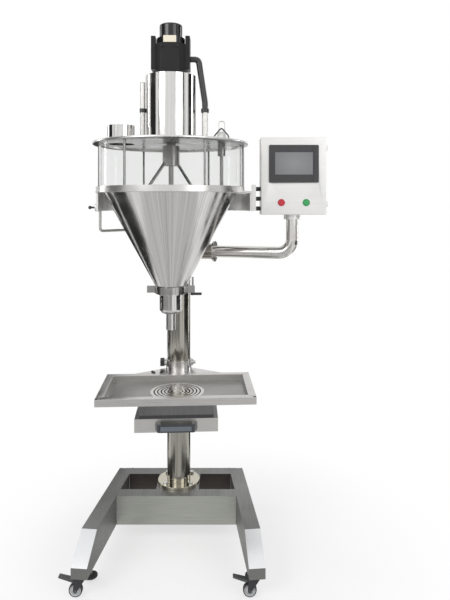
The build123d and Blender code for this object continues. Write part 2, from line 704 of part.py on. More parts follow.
# Clamp knobs that press on the column: one for the table, one for the lift carriage
def clamp_knob(sleeve_radius, z):
    """A lobed knob with its stud, on the left of a sleeve."""
    boss_face = -sleeve_radius - CLAMP_BOSS - BODY_GAP
    with BuildPart() as knob:
        with BuildSketch(side_plane(-COLUMN_RADIUS - BODY_GAP, 0, z)):
            Circle(CLAMP_STUD_RADIUS)
        extrude(amount=boss_face - CLAMP_STUD_RADIUS + COLUMN_RADIUS)
        with BuildSketch(side_plane(boss_face, 0, z)):
            Circle(CLAMP_KNOB_RADIUS)
            with PolarLocations(CLAMP_KNOB_RADIUS, KNOB_LOBES):
                Circle(CLAMP_STUD_RADIUS)
        extrude(amount=-CLAMP_KNOB_LENGTH)
    return knob


save(clamp_knob(TABLE_COLLAR_RADIUS, CLAMP_KNOB_Z), "table_clamp_knob", TABLE_YAW)

# Tray: folded sheet with a deep recess, a flat rim and a skirt
RECESS_WIDTH = TRAY_WIDTH - 2 * TRAY_RIM
RECESS_DEPTH = TRAY_DEPTH - 2 * TRAY_RIM
TRAY_FLOOR_Z = TRAY_BOTTOM_Z + TRAY_SHEET

with BuildPart() as table_tray:
    with BuildSketch(floor_plane(0, TABLE_Y, TRAY_BOTTOM_Z)):
        Rectangle(TRAY_WIDTH, TRAY_DEPTH)
    extrude(amount=TRAY_HEIGHT)
    with BuildSketch(floor_plane(0, TABLE_Y, TRAY_FLOOR_Z)):
        Rectangle(RECESS_WIDTH, RECESS_DEPTH)
    extrude(amount=TRAY_HEIGHT, mode=Mode.SUBTRACT)
    with BuildSketch(floor_plane(0, TABLE_Y, TRAY_BOTTOM_Z)):
        Rectangle(TRAY_WIDTH - 2 * TRAY_SHEET, TRAY_DEPTH - 2 * TRAY_SHEET)
        Rectangle(RECESS_WIDTH + 2 * TRAY_SHEET, RECESS_DEPTH + 2 * TRAY_SHEET, mode=Mode.SUBTRACT)
    extrude(amount=TRAY_HEIGHT - TRAY_SHEET, mode=Mode.SUBTRACT)
    with BuildSketch(floor_plane(0, TABLE_Y, TRAY_BOTTOM_Z)):
        Circle(TRAY_HOLE_RADIUS)
    extrude(amount=TRAY_SHEET, mode=Mode.SUBTRACT)
save(table_tray, "table_tray", TABLE_YAW)

# Strainer disc: rings of curved slots that let spilled powder through, flush with the tray's floor
with BuildPart() as strainer_disc:
    with BuildSketch(floor_plane(0, TABLE_Y, TRAY_BOTTOM_Z)):
        Circle(STRAINER_RADIUS)
        for ring in reversed(range(STRAINER_RINGS)):
            slot_radius = STRAINER_FIRST_RING + ring * STRAINER_RING_STEP
            Circle(slot_radius + STRAINER_SLOT / 2, mode=Mode.SUBTRACT)
            Circle(slot_radius - STRAINER_SLOT / 2)
        Rectangle(STRAINER_BAR, 2 * STRAINER_RADIUS - STRAINER_BAR)
    extrude(amount=TRAY_SHEET)
save(strainer_disc, "strainer_disc", TABLE_YAW)

# Catch box: ledge and open chute below the strainer, widening into the housing that carries the drawer
DRAWER_BACK_FACE_Y = DRAWER_FRONT_Y + DRAWER_FRONT_THICKNESS
HOUSING_FRONT_Y = DRAWER_BACK_FACE_Y + BODY_GAP
HOUSING_BACK_Y = HOUSING_FRONT_Y + DRAWER_DEPTH + 2 * DRAWER_WALL
HOUSING_DEPTH = HOUSING_BACK_Y - HOUSING_FRONT_Y
HOUSING_MIDDLE_Y = (HOUSING_FRONT_Y + HOUSING_BACK_Y) / 2
HOUSING_WIDTH = DRAWER_FRONT_WIDTH
HOUSING_BOTTOM_Z = CATCH_BOX_BOTTOM_Z - DRAWER_FRONT_HEIGHT

with BuildPart() as catch_box:
    with BuildSketch(floor_plane(0, TABLE_Y, CATCH_BOX_BOTTOM_Z)):
        Rectangle(CATCH_BOX_WIDTH, CATCH_BOX_DEPTH)
    extrude(amount=TRAY_BOTTOM_Z - CATCH_BOX_BOTTOM_Z)
    with BuildSketch(floor_plane(0, HOUSING_MIDDLE_Y, HOUSING_BOTTOM_Z)):
        Rectangle(HOUSING_WIDTH, HOUSING_DEPTH)
    extrude(amount=CATCH_BOX_BOTTOM_Z - HOUSING_BOTTOM_Z)
    with BuildSketch(front_plane(0, HOUSING_BACK_Y - CATCH_BOX_WALL)):
        with Locations((0, HOUSING_BOTTOM_Z + DRAWER_FRONT_HEIGHT / 2)):
            inner_height = DRAWER_FRONT_HEIGHT - 2 * CATCH_BOX_WALL
            Rectangle(HOUSING_WIDTH - 2 * CATCH_BOX_WALL, inner_height)
    extrude(amount=HOUSING_DEPTH, mode=Mode.SUBTRACT)
    with BuildSketch(floor_plane(0, HOUSING_MIDDLE_Y, HOUSING_BOTTOM_Z)):
        Rectangle(HOUSING_WIDTH - 2 * RUNNER_LIP, HOUSING_DEPTH - 2 * RUNNER_LIP)
    extrude(amount=CATCH_BOX_WALL, mode=Mode.SUBTRACT)
    with BuildSketch(floor_plane(0, TABLE_Y, CATCH_BOX_BOTTOM_Z - CATCH_BOX_WALL)):
        Rectangle(CATCH_BOX_WIDTH - 2 * CATCH_BOX_WALL, CATCH_BOX_DEPTH - 2 * CATCH_BOX_WALL)
    extrude(amount=TRAY_BOTTOM_Z - CATCH_BOX_BOTTOM_Z, mode=Mode.SUBTRACT)
    with BuildSketch(floor_plane(0, TABLE_Y, TRAY_BOTTOM_Z)):
        Circle(TRAY_HOLE_RADIUS - STRAINER_LEDGE)
    extrude(amount=-CATCH_BOX_WALL, mode=Mode.SUBTRACT)
save(catch_box, "catch_box", TABLE_YAW)

# Drawer with its front panel, and the bridge handle on it
DRAWER_FLOOR_Z = HOUSING_BOTTOM_Z + CATCH_BOX_WALL + BODY_GAP
DRAWER_TOP_Z = CATCH_BOX_BOTTOM_Z - CATCH_BOX_WALL - 2 * BODY_GAP
DRAWER_WIDTH = HOUSING_WIDTH - 2 * CATCH_BOX_WALL - 2 * BODY_GAP
DRAWER_MIDDLE_Y = DRAWER_BACK_FACE_Y + DRAWER_DEPTH / 2

with BuildPart() as drawer:
    with BuildSketch(floor_plane(0, DRAWER_MIDDLE_Y, DRAWER_FLOOR_Z)):
        Rectangle(DRAWER_WIDTH, DRAWER_DEPTH)
    extrude(amount=DRAWER_TOP_Z - DRAWER_FLOOR_Z)
    with BuildSketch(front_plane(0, DRAWER_BACK_FACE_Y, HOUSING_BOTTOM_Z)):
        with Locations((0, DRAWER_FRONT_HEIGHT / 2)):
            Rectangle(DRAWER_FRONT_WIDTH, DRAWER_FRONT_HEIGHT)
    extrude(amount=DRAWER_FRONT_THICKNESS)
    with BuildSketch(floor_plane(0, DRAWER_MIDDLE_Y, DRAWER_FLOOR_Z + DRAWER_WALL)):
        Rectangle(DRAWER_WIDTH - 2 * DRAWER_WALL, DRAWER_DEPTH - 2 * DRAWER_WALL)
    extrude(amount=DRAWER_FRONT_HEIGHT, mode=Mode.SUBTRACT)
save(drawer, "drawer", TABLE_YAW)

with BuildPart() as drawer_handle:
    handle_side = HANDLE_WIDTH / 2
    with BuildSketch(floor_plane(0, DRAWER_FRONT_Y, HANDLE_BOTTOM_Z)):
        with BuildLine():
            FilletPolyline(
                (-handle_side, 0),
                (-handle_side + HANDLE_FOOT_WIDTH / 2, -HANDLE_REACH),
                (handle_side - HANDLE_FOOT_WIDTH / 2, -HANDLE_REACH),
                (handle_side, 0),
                radius=HANDLE_BAR / 2,
            )
            Line((handle_side, 0), (handle_side - HANDLE_FOOT_WIDTH, 0))
            FilletPolyline(
                (handle_side - HANDLE_FOOT_WIDTH, 0),
                (handle_side - HANDLE_FOOT_WIDTH, HANDLE_BAR / 2 - HANDLE_REACH),
                (HANDLE_FOOT_WIDTH - handle_side, HANDLE_BAR / 2 - HANDLE_REACH),
                (HANDLE_FOOT_WIDTH - handle_side, 0),
                radius=HANDLE_BAR / 4,
            )
            Line((HANDLE_FOOT_WIDTH - handle_side, 0), (-handle_side, 0))
        make_face()
    extrude(amount=HANDLE_HEIGHT)
    fillet(drawer_handle.faces().sort_by(Axis.Y)[0].edges(), radius=HANDLE_EDGE)
save(drawer_handle, "drawer_handle", TABLE_YAW)

# Hopper cone with its neck, top ring and the three lugs that rest on the yoke
CONE_SLOPE = (CONE_TOP_RADIUS - CONE_BOTTOM_RADIUS) / (CONE_TOP_Z - CONE_BOTTOM_Z)
CONE_SIDE_WALL = CONE_WALL * sqrt(1 + CONE_SLOPE**2)
FERRULE_HEIGHT = (CONE_BOTTOM_Z - CLAMP_RING_BOTTOM_Z) / 2
FERRULE_Z = CONE_BOTTOM_Z - FERRULE_HEIGHT
NECK_INNER_RADIUS = NECK_RADIUS - NECK_WALL
hopper_axis = upright_axis(HOPPER_X, HOPPER_Y)


def cone_radius(z):
    """Outer radius of the cone at a height."""
    return CONE_BOTTOM_RADIUS + (z - CONE_BOTTOM_Z) * CONE_SLOPE


with BuildPart() as hopper_cone:
    with BuildSketch(front_plane(HOPPER_X, HOPPER_Y)):
        with BuildLine():
            Polyline(
                (NECK_INNER_RADIUS, FERRULE_Z),
                (NECK_RADIUS, FERRULE_Z),
                (NECK_RADIUS, CONE_BOTTOM_Z),
                (CONE_BOTTOM_RADIUS, CONE_BOTTOM_Z),
                (CONE_TOP_RADIUS, CONE_TOP_Z),
                (RING_RADIUS, CONE_TOP_Z),
                (RING_RADIUS, RING_TOP_Z),
                (CONE_TOP_RADIUS - CONE_SIDE_WALL, RING_TOP_Z),
                (CONE_TOP_RADIUS - CONE_SIDE_WALL, CONE_TOP_Z),
                (NECK_INNER_RADIUS, CONE_BOTTOM_Z),
                close=True,
            )
        make_face()
    revolve(axis=hopper_axis)
    with BuildSketch(floor_plane(0, HOPPER_Y, CONE_TOP_Z)):
        for lug in range(LUG_COUNT):
            lug_angle = 180 * lug / (LUG_COUNT - 1)
            with PolarLocations(LUG_MIDDLE_RADIUS, 1, start_angle=lug_angle):
                Rectangle(LUG_LENGTH, LUG_WIDTH)
    extrude(amount=LUG_THICKNESS)
save(hopper_cone, "hopper_cone")

with BuildPart() as hopper_window:
    with BuildSketch(floor_plane(HOPPER_X, HOPPER_Y, RING_TOP_Z)):
        Circle(WINDOW_RADIUS)
        Circle(WINDOW_RADIUS - WINDOW_WALL, mode=Mode.SUBTRACT)
    extrude(amount=LID_BOTTOM_Z - RING_TOP_Z)
save(hopper_window, "hopper_window")

with BuildPart() as window_posts:
    with BuildSketch(floor_plane(HOPPER_X, HOPPER_Y, RING_TOP_Z)):
        with PolarLocations(POST_CIRCLE, POST_COUNT, start_angle=POST_START_ANGLE):
            Circle(POST_RADIUS)
    extrude(amount=LID_BOTTOM_Z - RING_TOP_Z)
save(window_posts, "window_posts")

# Lid with a rolled edge and the inlet port welded to it, open for the sensor and the stirrer
with BuildPart() as hopper_lid:
    with BuildSketch(floor_plane(HOPPER_X, HOPPER_Y, LID_BOTTOM_Z)):
        Circle(LID_RADIUS)
        Circle(STIRRER_SLEEVE_RADIUS + BODY_GAP, mode=Mode.SUBTRACT)
        with Locations((INLET_X, 0)):
            Circle(INLET_RADIUS - INLET_WALL, mode=Mode.SUBTRACT)
        with Locations((SENSOR_X, 0)):
            Circle(SENSOR_RADIUS + BOLT_CLEARANCE, mode=Mode.SUBTRACT)
    extrude(amount=LID_TOP_Z - LID_BOTTOM_Z)
    with BuildSketch(floor_plane(HOPPER_X, HOPPER_Y, LID_BOTTOM_Z)):
        Circle(WINDOW_RADIUS - WINDOW_WALL)
    extrude(amount=LID_TOP_Z - LID_SHEET - LID_BOTTOM_Z, mode=Mode.SUBTRACT)
    rim = hopper_lid.edges().filter_by(GeomType.CIRCLE).group_by(SortBy.RADIUS)[-1]
    fillet(rim, radius=LID_ROLL)
    with BuildSketch(floor_plane(HOPPER_X + INLET_X, HOPPER_Y, LID_TOP_Z)):
        Circle(INLET_RADIUS)
        Circle(INLET_RADIUS - INLET_WALL, mode=Mode.SUBTRACT)
    extrude(amount=INLET_HEIGHT)
save(hopper_lid, "hopper_lid")

# Level sensor through the lid
with BuildPart() as level_sensor:
    with BuildSketch(front_plane(HOPPER_X + SENSOR_X, HOPPER_Y)):
        with BuildLine():
            Polyline(
                (0, SENSOR_ROD_BOTTOM_Z),
                (SENSOR_ROD_RADIUS, SENSOR_ROD_BOTTOM_Z),
                (SENSOR_ROD_RADIUS, SENSOR_BOTTOM_Z),
                (SENSOR_RADIUS, SENSOR_BOTTOM_Z),
                (SENSOR_RADIUS, LID_TOP_Z),
                (SENSOR_CAP_RADIUS, LID_TOP_Z),
                (SENSOR_CAP_RADIUS, LID_TOP_Z + SENSOR_CAP_HEIGHT / 2),
                (SENSOR_RADIUS, LID_TOP_Z + SENSOR_CAP_HEIGHT),
                (0, LID_TOP_Z + SENSOR_CAP_HEIGHT),
                close=True,
            )
        make_face()
    revolve(axis=upright_axis(HOPPER_X + SENSOR_X, HOPPER_Y))
save(level_sensor, "level_sensor")

# Tri-clamp round the two ferrules, with ears, and its lever
CLAMP_INNER_RADIUS = NECK_RADIUS + BOLT_CLEARANCE
CLAMP_OUTER_RADIUS = CLAMP_INNER_RADIUS + CLAMP_RING_WALL
CLAMP_HEIGHT = CONE_BOTTOM_Z - CLAMP_RING_BOTTOM_Z
EAR_END_RADIUS = CLAMP_OUTER_RADIUS + CLAMP_EAR_LENGTH

with BuildPart() as tri_clamp:
    with BuildSketch(floor_plane(HOPPER_X, HOPPER_Y, CLAMP_RING_BOTTOM_Z)):
        Circle(CLAMP_OUTER_RADIUS)
        Rectangle(2 * EAR_END_RADIUS, CLAMP_EAR_THICKNESS)
        Circle(CLAMP_INNER_RADIUS, mode=Mode.SUBTRACT)
    extrude(amount=CLAMP_HEIGHT - BOLT_CLEARANCE)
    with BuildSketch(floor_plane(HOPPER_X + CLAMP_BOLT_X, HOPPER_Y, LEVER_BOTTOM_Z)):
        Circle(CLAMP_BOLT_RADIUS)
    extrude(amount=CLAMP_BOLT_TOP_Z - LEVER_BOTTOM_Z)
save(tri_clamp, "tri_clamp")

with BuildPart() as clamp_lever:
    with BuildSketch(floor_plane(HOPPER_X + CLAMP_BOLT_X, HOPPER_Y, LEVER_BOTTOM_Z)):
        Circle(LEVER_EYE_RADIUS)
        with Locations((LEVER_LENGTH / 2, 0)):
            SlotCenterToCenter(LEVER_LENGTH, 2 * LEVER_RADIUS)
        Circle(CLAMP_BOLT_RADIUS + PIN_CLEARANCE, mode=Mode.SUBTRACT)
    extrude(amount=CLAMP_RING_BOTTOM_Z - BODY_GAP - LEVER_BOTTOM_Z)
    fillet(clamp_lever.faces().sort_by(Axis.Z)[0].edges(), radius=LEVER_EDGE)
save(clamp_lever, "clamp_lever")

# Nozzle housing: a funnel inside a round body, with a ferrule in the tri-clamp
NOZZLE_INNER_RADIUS = NOZZLE_RADIUS - NOZZLE_WALL
FUNNEL_END_Z = NOZZLE_HOUSING_BOTTOM_Z + NOZZLE_FLOOR_THICKNESS

with BuildPart() as nozzle_housing:
    with BuildSketch(front_plane(HOPPER_X, HOPPER_Y)) as nozzle_profile:
        with BuildLine():
            Polyline(
                (NOZZLE_INNER_RADIUS, NOZZLE_HOUSING_BOTTOM_Z),
                (NOZZLE_HOUSING_RADIUS, NOZZLE_HOUSING_BOTTOM_Z),
                (NOZZLE_HOUSING_RADIUS, CLAMP_RING_BOTTOM_Z - NECK_WALL),
                (NECK_RADIUS, CLAMP_RING_BOTTOM_Z - NECK_WALL),
                (NECK_RADIUS, FERRULE_Z),
                (NECK_INNER_RADIUS, FERRULE_Z),
                (NOZZLE_HOUSING_RADIUS - NECK_WALL, CLAMP_RING_BOTTOM_Z - NECK_WALL),
                (NOZZLE_INNER_RADIUS, FUNNEL_END_Z),
                close=True,
            )
        make_face()
        bottom_corner = nozzle_profile.vertices().group_by(Axis.Y)[0].sort_by(Axis.X)[-1]
        fillet(bottom_corner, radius=HOUSING_CORNER)
    revolve(axis=hopper_axis)
save(nozzle_housing, "nozzle_housing")

with BuildPart() as filling_nozzle:
    with BuildSketch(floor_plane(HOPPER_X, HOPPER_Y, NOZZLE_BOTTOM_Z)):
        Circle(NOZZLE_RADIUS)
        Circle(NOZZLE_INNER_RADIUS, mode=Mode.SUBTRACT)
    extrude(amount=NOZZLE_HOUSING_BOTTOM_Z - NOZZLE_BOTTOM_Z)
save(filling_nozzle, "filling_nozzle")

# Auger: a shaft with one helical blade that just clears the nozzle's wall
AUGER_RADIUS = NOZZLE_INNER_RADIUS - AUGER_CLEARANCE
AUGER_BOTTOM_Z = NOZZLE_BOTTOM_Z + AUGER_BLADE
BLADE_HEIGHT = AUGER_TOP_Z - AUGER_PITCH - AUGER_BOTTOM_Z
BLADE_ROOT = AUGER_SHAFT_RADIUS - AUGER_CLEARANCE

with BuildPart() as auger:
    with BuildLine(floor_plane(HOPPER_X, HOPPER_Y, AUGER_BOTTOM_Z)):
        Helix(pitch=AUGER_PITCH, height=BLADE_HEIGHT, radius=AUGER_RADIUS)
    with BuildSketch(front_plane(HOPPER_X, HOPPER_Y, AUGER_BOTTOM_Z)):
        with Locations(((AUGER_RADIUS + BLADE_ROOT) / 2, 0)):
            Rectangle(AUGER_RADIUS - BLADE_ROOT, AUGER_BLADE)
    sweep(is_frenet=True)
    with BuildSketch(floor_plane(HOPPER_X, HOPPER_Y, NOZZLE_BOTTOM_Z)):
        Circle(AUGER_SHAFT_RADIUS)
    extrude(amount=AUGER_TOP_Z + AUGER_SOCKET - PIN_CLEARANCE - NOZZLE_BOTTOM_Z)
save(auger, "auger")

# Drive shaft with a socket for the auger, the coupling and the motor's shaft
COUPLING_MIDDLE_Z = DRIVE_SHAFT_TOP_Z
MOTOR_SHAFT_BOTTOM_Z = DRIVE_SHAFT_TOP_Z + BODY_GAP

with BuildPart() as drive_shaft:
    with BuildSketch(floor_plane(HOPPER_X, HOPPER_Y, AUGER_TOP_Z)):
        Circle(DRIVE_SHAFT_RADIUS)
    extrude(amount=DRIVE_SHAFT_TOP_Z - AUGER_TOP_Z)
    with BuildSketch(floor_plane(HOPPER_X, HOPPER_Y, AUGER_TOP_Z)):
        Circle(AUGER_SHAFT_RADIUS + PIN_CLEARANCE)
    extrude(amount=AUGER_SOCKET, mode=Mode.SUBTRACT)
save(drive_shaft, "drive_shaft")

with BuildPart() as shaft_coupling:
    with BuildSketch(floor_plane(HOPPER_X, HOPPER_Y, COUPLING_MIDDLE_Z)):
        Circle(COUPLING_RADIUS)
        Circle(DRIVE_SHAFT_RADIUS + PIN_CLEARANCE, mode=Mode.SUBTRACT)
    extrude(amount=-COUPLING_LENGTH / 2)
    with BuildSketch(floor_plane(HOPPER_X, HOPPER_Y, COUPLING_MIDDLE_Z)):
        Circle(COUPLING_RADIUS)
        Circle(MOTOR_SHAFT_RADIUS + PIN_CLEARANCE, mode=Mode.SUBTRACT)
    extrude(amount=COUPLING_LENGTH / 2)

with BuildPart() as motor_shaft:
    with BuildSketch(floor_plane(HOPPER_X, HOPPER_Y, MOTOR_SHAFT_BOTTOM_Z)):
        Circle(MOTOR_SHAFT_RADIUS)
    extrude(amount=HOUSING_TOP_Z + MOTOR_SHAFT_DEPTH - PIN_CLEARANCE - MOTOR_SHAFT_BOTTOM_Z)
save_group([shaft_coupling, motor_shaft], "motor_coupling")

# Stirrer: hub and hollow sleeve on the drive shaft, with bent arms that follow the cone's wall
STIRRER_HUB_TOP_Z = LID_BOTTOM_Z - BODY_GAP
STIRRER_INSET = (CONE_WALL + STIRRER_GAP + STIRRER_ARM_RADIUS) * sqrt(1 + CONE_SLOPE**2)

with BuildPart() as stirrer:
    with BuildSketch(floor_plane(HOPPER_X, HOPPER_Y, STIRRER_HUB_BOTTOM_Z)):
        Circle(STIRRER_HUB_RADIUS)
    extrude(amount=STIRRER_HUB_TOP_Z - STIRRER_HUB_BOTTOM_Z)
    with BuildSketch(floor_plane(HOPPER_X, HOPPER_Y, STIRRER_HUB_BOTTOM_Z)):
        Circle(STIRRER_SLEEVE_RADIUS)
    extrude(amount=STIRRER_SLEEVE_TOP_Z - STIRRER_HUB_BOTTOM_Z)
    for arm in range(STIRRER_ARMS):
        turn = radians(STIRRER_ANGLE + arm * 360 / STIRRER_ARMS)
        arm_plane = Plane(
            (COLUMN_X + HOPPER_X, COLUMN_Y + HOPPER_Y, 0),
            x_dir=(cos(turn), sin(turn), 0),
            z_dir=(sin(turn), -cos(turn), 0),
        )
        with BuildLine(arm_plane) as arm_path:
            FilletPolyline(
                (STIRRER_HUB_RADIUS - STIRRER_ARM_RADIUS, STIRRER_ARM_TOP_Z),
                (STIRRER_SHOULDER_X, STIRRER_SHOULDER_Z),
                (cone_radius(STIRRER_ELBOW_Z) - STIRRER_INSET, STIRRER_ELBOW_Z),
                (cone_radius(STIRRER_BOTTOM_Z) - STIRRER_INSET, STIRRER_BOTTOM_Z),
                radius=STIRRER_BEND,
            )
        with BuildSketch(Plane(origin=arm_path.line @ 0, z_dir=arm_path.line % 0)):
            Circle(STIRRER_ARM_RADIUS)
        sweep(path=arm_path.line)
    with BuildSketch(floor_plane(HOPPER_X, HOPPER_Y, STIRRER_HUB_BOTTOM_Z)):
        Circle(DRIVE_SHAFT_RADIUS + PIN_CLEARANCE)
    extrude(amount=STIRRER_SLEEVE_TOP_Z - STIRRER_HUB_BOTTOM_Z, mode=Mode.SUBTRACT)
save(stirrer, "stirrer")

# Drive housing on the lid, its bearing block and the shelf for the stirrer's motor
HOUSING_INNER_RADIUS = HOUSING_RADIUS - HOUSING_WALL
GEAR_CENTRES = (GEAR_TEETH + PINION_TEETH) * GEAR_MODULE / 2
PINION_Y = HOPPER_Y + GEAR_CENTRES

with BuildPart() as drive_housing:
    with BuildSketch(floor_plane(HOPPER_X, HOPPER_Y, LID_TOP_Z)):
        Circle(HOUSING_RADIUS)
    extrude(amount=HOUSING_TOP_Z - LID_TOP_Z)
    with BuildSketch(floor_plane(HOPPER_X, HOPPER_Y, LID_TOP_Z)):
        Circle(HOUSING_INNER_RADIUS)
    extrude(amount=HOUSING_TOP_Z - HOUSING_TOP_PLATE - LID_TOP_Z, mode=Mode.SUBTRACT)
    with BuildSketch(floor_plane(HOPPER_X, HOPPER_Y, HOUSING_TOP_Z)):
        Circle(MOTOR_SHAFT_RADIUS + BODY_GAP)
    extrude(amount=-HOUSING_TOP_PLATE, mode=Mode.SUBTRACT)
save(drive_housing, "drive_housing")

with BuildPart() as bearing_block:
    with BuildSketch(floor_plane(HOPPER_X, HOPPER_Y, LID_TOP_Z)):
        Circle(BEARING_RADIUS)
        Circle(STIRRER_SLEEVE_RADIUS + PIN_CLEARANCE, mode=Mode.SUBTRACT)
    extrude(amount=BEARING_HEIGHT)

with BuildPart() as motor_shelf:
    with BuildSketch(floor_plane(HOPPER_X, HOPPER_Y, SHELF_Z)):
        Circle(HOUSING_INNER_RADIUS - PIN_CLEARANCE)
        Circle(COUPLING_RADIUS, mode=Mode.SUBTRACT)
        with Locations((0, GEAR_CENTRES)):
            Circle(PINION_SHAFT_RADIUS + BODY_GAP, mode=Mode.SUBTRACT)
    extrude(amount=SHELF_THICKNESS)

with BuildPart() as stirrer_motor:
    with BuildSketch(floor_plane(HOPPER_X, PINION_Y, SHELF_Z + SHELF_THICKNESS)):
        Circle(STIRRER_MOTOR_RADIUS)
    extrude(amount=STIRRER_MOTOR_HEIGHT)
    with BuildSketch(floor_plane(HOPPER_X, PINION_Y, SHELF_Z + SHELF_THICKNESS)):
        Circle(PINION_SHAFT_RADIUS + PIN_CLEARANCE)
    extrude(amount=STIRRER_MOTOR_HEIGHT / 2, mode=Mode.SUBTRACT)
save_group([bearing_block, motor_shelf, stirrer_motor], "stirrer_drive_mount")


# Spur gears between the stirrer's motor and its sleeve
def gear_sketch(plane, teeth, first_angle):
    """A toothed disc: straight-flanked teeth round the root circle."""
    pitch_radius = teeth * GEAR_MODULE / 2
    root_radius = pitch_radius - GEAR_ROOT * GEAR_MODULE
    tip_radius = pitch_radius + GEAR_TIP * GEAR_MODULE
    half_root = (GEAR_TOOTH_SHARE / 2 + GEAR_ROOT * GEAR_FLANK) * GEAR_MODULE
    half_tip = (GEAR_TOOTH_SHARE / 2 - GEAR_TIP * GEAR_FLANK) * GEAR_MODULE
    inside = root_radius - GEAR_ROOT * GEAR_MODULE
    with BuildSketch(plane) as gear:
        Circle(root_radius)
        with PolarLocations(0, teeth, start_angle=first_angle):
            Polygon(
                (inside, -half_root),
                (root_radius, -half_root),
                (tip_radius, -half_tip),
                (tip_radius, half_tip),
                (root_radius, half_root),
                (inside, half_root),
                align=None,
            )
    return gear.sketch


with BuildPart() as stirrer_gear:
    gear_plane = floor_plane(HOPPER_X, HOPPER_Y, GEAR_BOTTOM_Z)
    extrude(gear_sketch(gear_plane, GEAR_TEETH, 90), amount=GEAR_HEIGHT)
    with BuildSketch(floor_plane(HOPPER_X, HOPPER_Y, GEAR_BOTTOM_Z)):
        Circle(STIRRER_SLEEVE_RADIUS + PIN_CLEARANCE)
    extrude(amount=GEAR_HEIGHT, mode=Mode.SUBTRACT)
save(stirrer_gear, "stirrer_gear")

with BuildPart() as motor_pinion:
    first_tooth = -90 + 180 / PINION_TEETH
    pinion_plane = floor_plane(HOPPER_X, PINION_Y, GEAR_BOTTOM_Z)
    extrude(gear_sketch(pinion_plane, PINION_TEETH, first_tooth), amount=GEAR_HEIGHT)
    with BuildSketch(floor_plane(HOPPER_X, PINION_Y, GEAR_BOTTOM_Z)):
        Circle(PINION_SHAFT_RADIUS)
    pinion_shaft_top_z = SHELF_Z + SHELF_THICKNESS + STIRRER_MOTOR_HEIGHT / 2 - BODY_GAP
    extrude(amount=pinion_shaft_top_z - GEAR_BOTTOM_Z)
save(motor_pinion, "motor_pinion")

# Servo motor with its flange, body and two side blocks, and the encoder on top
with BuildPart() as servo_motor:
    with BuildSketch(floor_plane(HOPPER_X, HOPPER_Y, HOUSING_TOP_Z)):
        RectangleRounded(MOTOR_FLANGE_WIDTH, MOTOR_FLANGE_WIDTH, MOTOR_CORNER / 2)
    extrude(amount=MOTOR_FLANGE_THICKNESS)
    body_plane = floor_plane(HOPPER_X, HOPPER_Y, HOUSING_TOP_Z + MOTOR_FLANGE_THICKNESS)
    with BuildSketch(body_plane) as motor_section:
        Rectangle(MOTOR_WIDTH, MOTOR_WIDTH)
        chamfer(motor_section.vertices(), length=MOTOR_CORNER)
    extrude(amount=MOTOR_TOP_Z - HOUSING_TOP_Z - MOTOR_FLANGE_THICKNESS)
    for side in SIDES.values():
        block_x = HOPPER_X + side * (MOTOR_WIDTH + CONNECTOR_WIDTH) / 2
        block_bottom_z = HOUSING_TOP_Z + CONNECTOR_RISE
        with BuildSketch(floor_plane(block_x, HOPPER_Y, block_bottom_z)):
            Rectangle(CONNECTOR_WIDTH, CONNECTOR_DEPTH)
        extrude(amount=MOTOR_TOP_Z + CONNECTOR_OVER - block_bottom_z)
    with BuildSketch(floor_plane(HOPPER_X, HOPPER_Y, HOUSING_TOP_Z)):
        Circle(MOTOR_SHAFT_RADIUS + PIN_CLEARANCE)
    extrude(amount=MOTOR_SHAFT_DEPTH, mode=Mode.SUBTRACT)
save(servo_motor, "servo_motor")

with BuildPart() as motor_encoder:
    with BuildSketch(floor_plane(HOPPER_X, HOPPER_Y, MOTOR_TOP_Z)):
        Circle(ENCODER_BASE_RADIUS)
    extrude(amount=ENCODER_BASE_HEIGHT)
    with BuildSketch(floor_plane(HOPPER_X, HOPPER_Y, MOTOR_TOP_Z)):
        Circle(ENCODER_RADIUS)
    extrude(amount=ENCODER_TOP_Z - MOTOR_TOP_Z)
    fillet(motor_encoder.faces().sort_by(Axis.Z)[-1].edges(), radius=ENCODER_EDGE)
save(motor_encoder, "motor_encoder")

# Conduit from the motor's right block down into the collar of the right post
with BuildPart() as motor_conduit:
    with BuildLine(front_plane(HOPPER_X, HOPPER_Y)) as conduit_path:
        FilletPolyline(
            (MOTOR_WIDTH / 2 + CONNECTOR_WIDTH, CONDUIT_TOP_Z),
            (CONDUIT_X, CONDUIT_TOP_Z),
            (RIGHT_POST_X, COLLARS_TOP_Z + CONDUIT_FOOT),
            (RIGHT_POST_X, COLLARS_TOP_Z),
            radius=CONDUIT_BEND,
        )
    with BuildSketch(Plane(origin=conduit_path.line @ 0, z_dir=conduit_path.line % 0)):
        Circle(CONDUIT_RADIUS)
    sweep(path=conduit_path.line)
save(motor_conduit, "motor_conduit")

# Left post and the short right post that holds the conduit, each with a black collar
with BuildPart() as left_post:
    with BuildSketch(floor_plane(HOPPER_X + LEFT_POST_X, HOPPER_Y, LID_TOP_Z)):
        Circle(LEFT_POST_RADIUS)
    extrude(amount=LEFT_POST_TOP_Z - LID_TOP_Z)
    fillet(left_post.edges().group_by(Axis.Z)[-1], radius=LEFT_POST_RADIUS / 3)

with BuildPart() as right_post:
    with BuildSketch(floor_plane(HOPPER_X + RIGHT_POST_X, HOPPER_Y, LID_TOP_Z)):
        Circle(RIGHT_POST_RADIUS)
    extrude(amount=COLLARS_TOP_Z - LID_TOP_Z)


def post_collar(post_x, inside, outside):
    with BuildPart() as collar:
        with BuildSketch(floor_plane(HOPPER_X + post_x, HOPPER_Y, POST_COLLAR_Z)):
            Circle(outside)
            Circle(inside, mode=Mode.SUBTRACT)
        extrude(amount=POST_COLLAR_HEIGHT)
    return collar


left_collar = post_collar(LEFT_POST_X, LEFT_POST_RADIUS, LEFT_COLLAR_RADIUS)
right_collar = post_collar(RIGHT_POST_X, RIGHT_POST_RADIUS, RIGHT_COLLAR_RADIUS)
save_group([left_post, right_post, left_collar, right_collar], "side_posts")

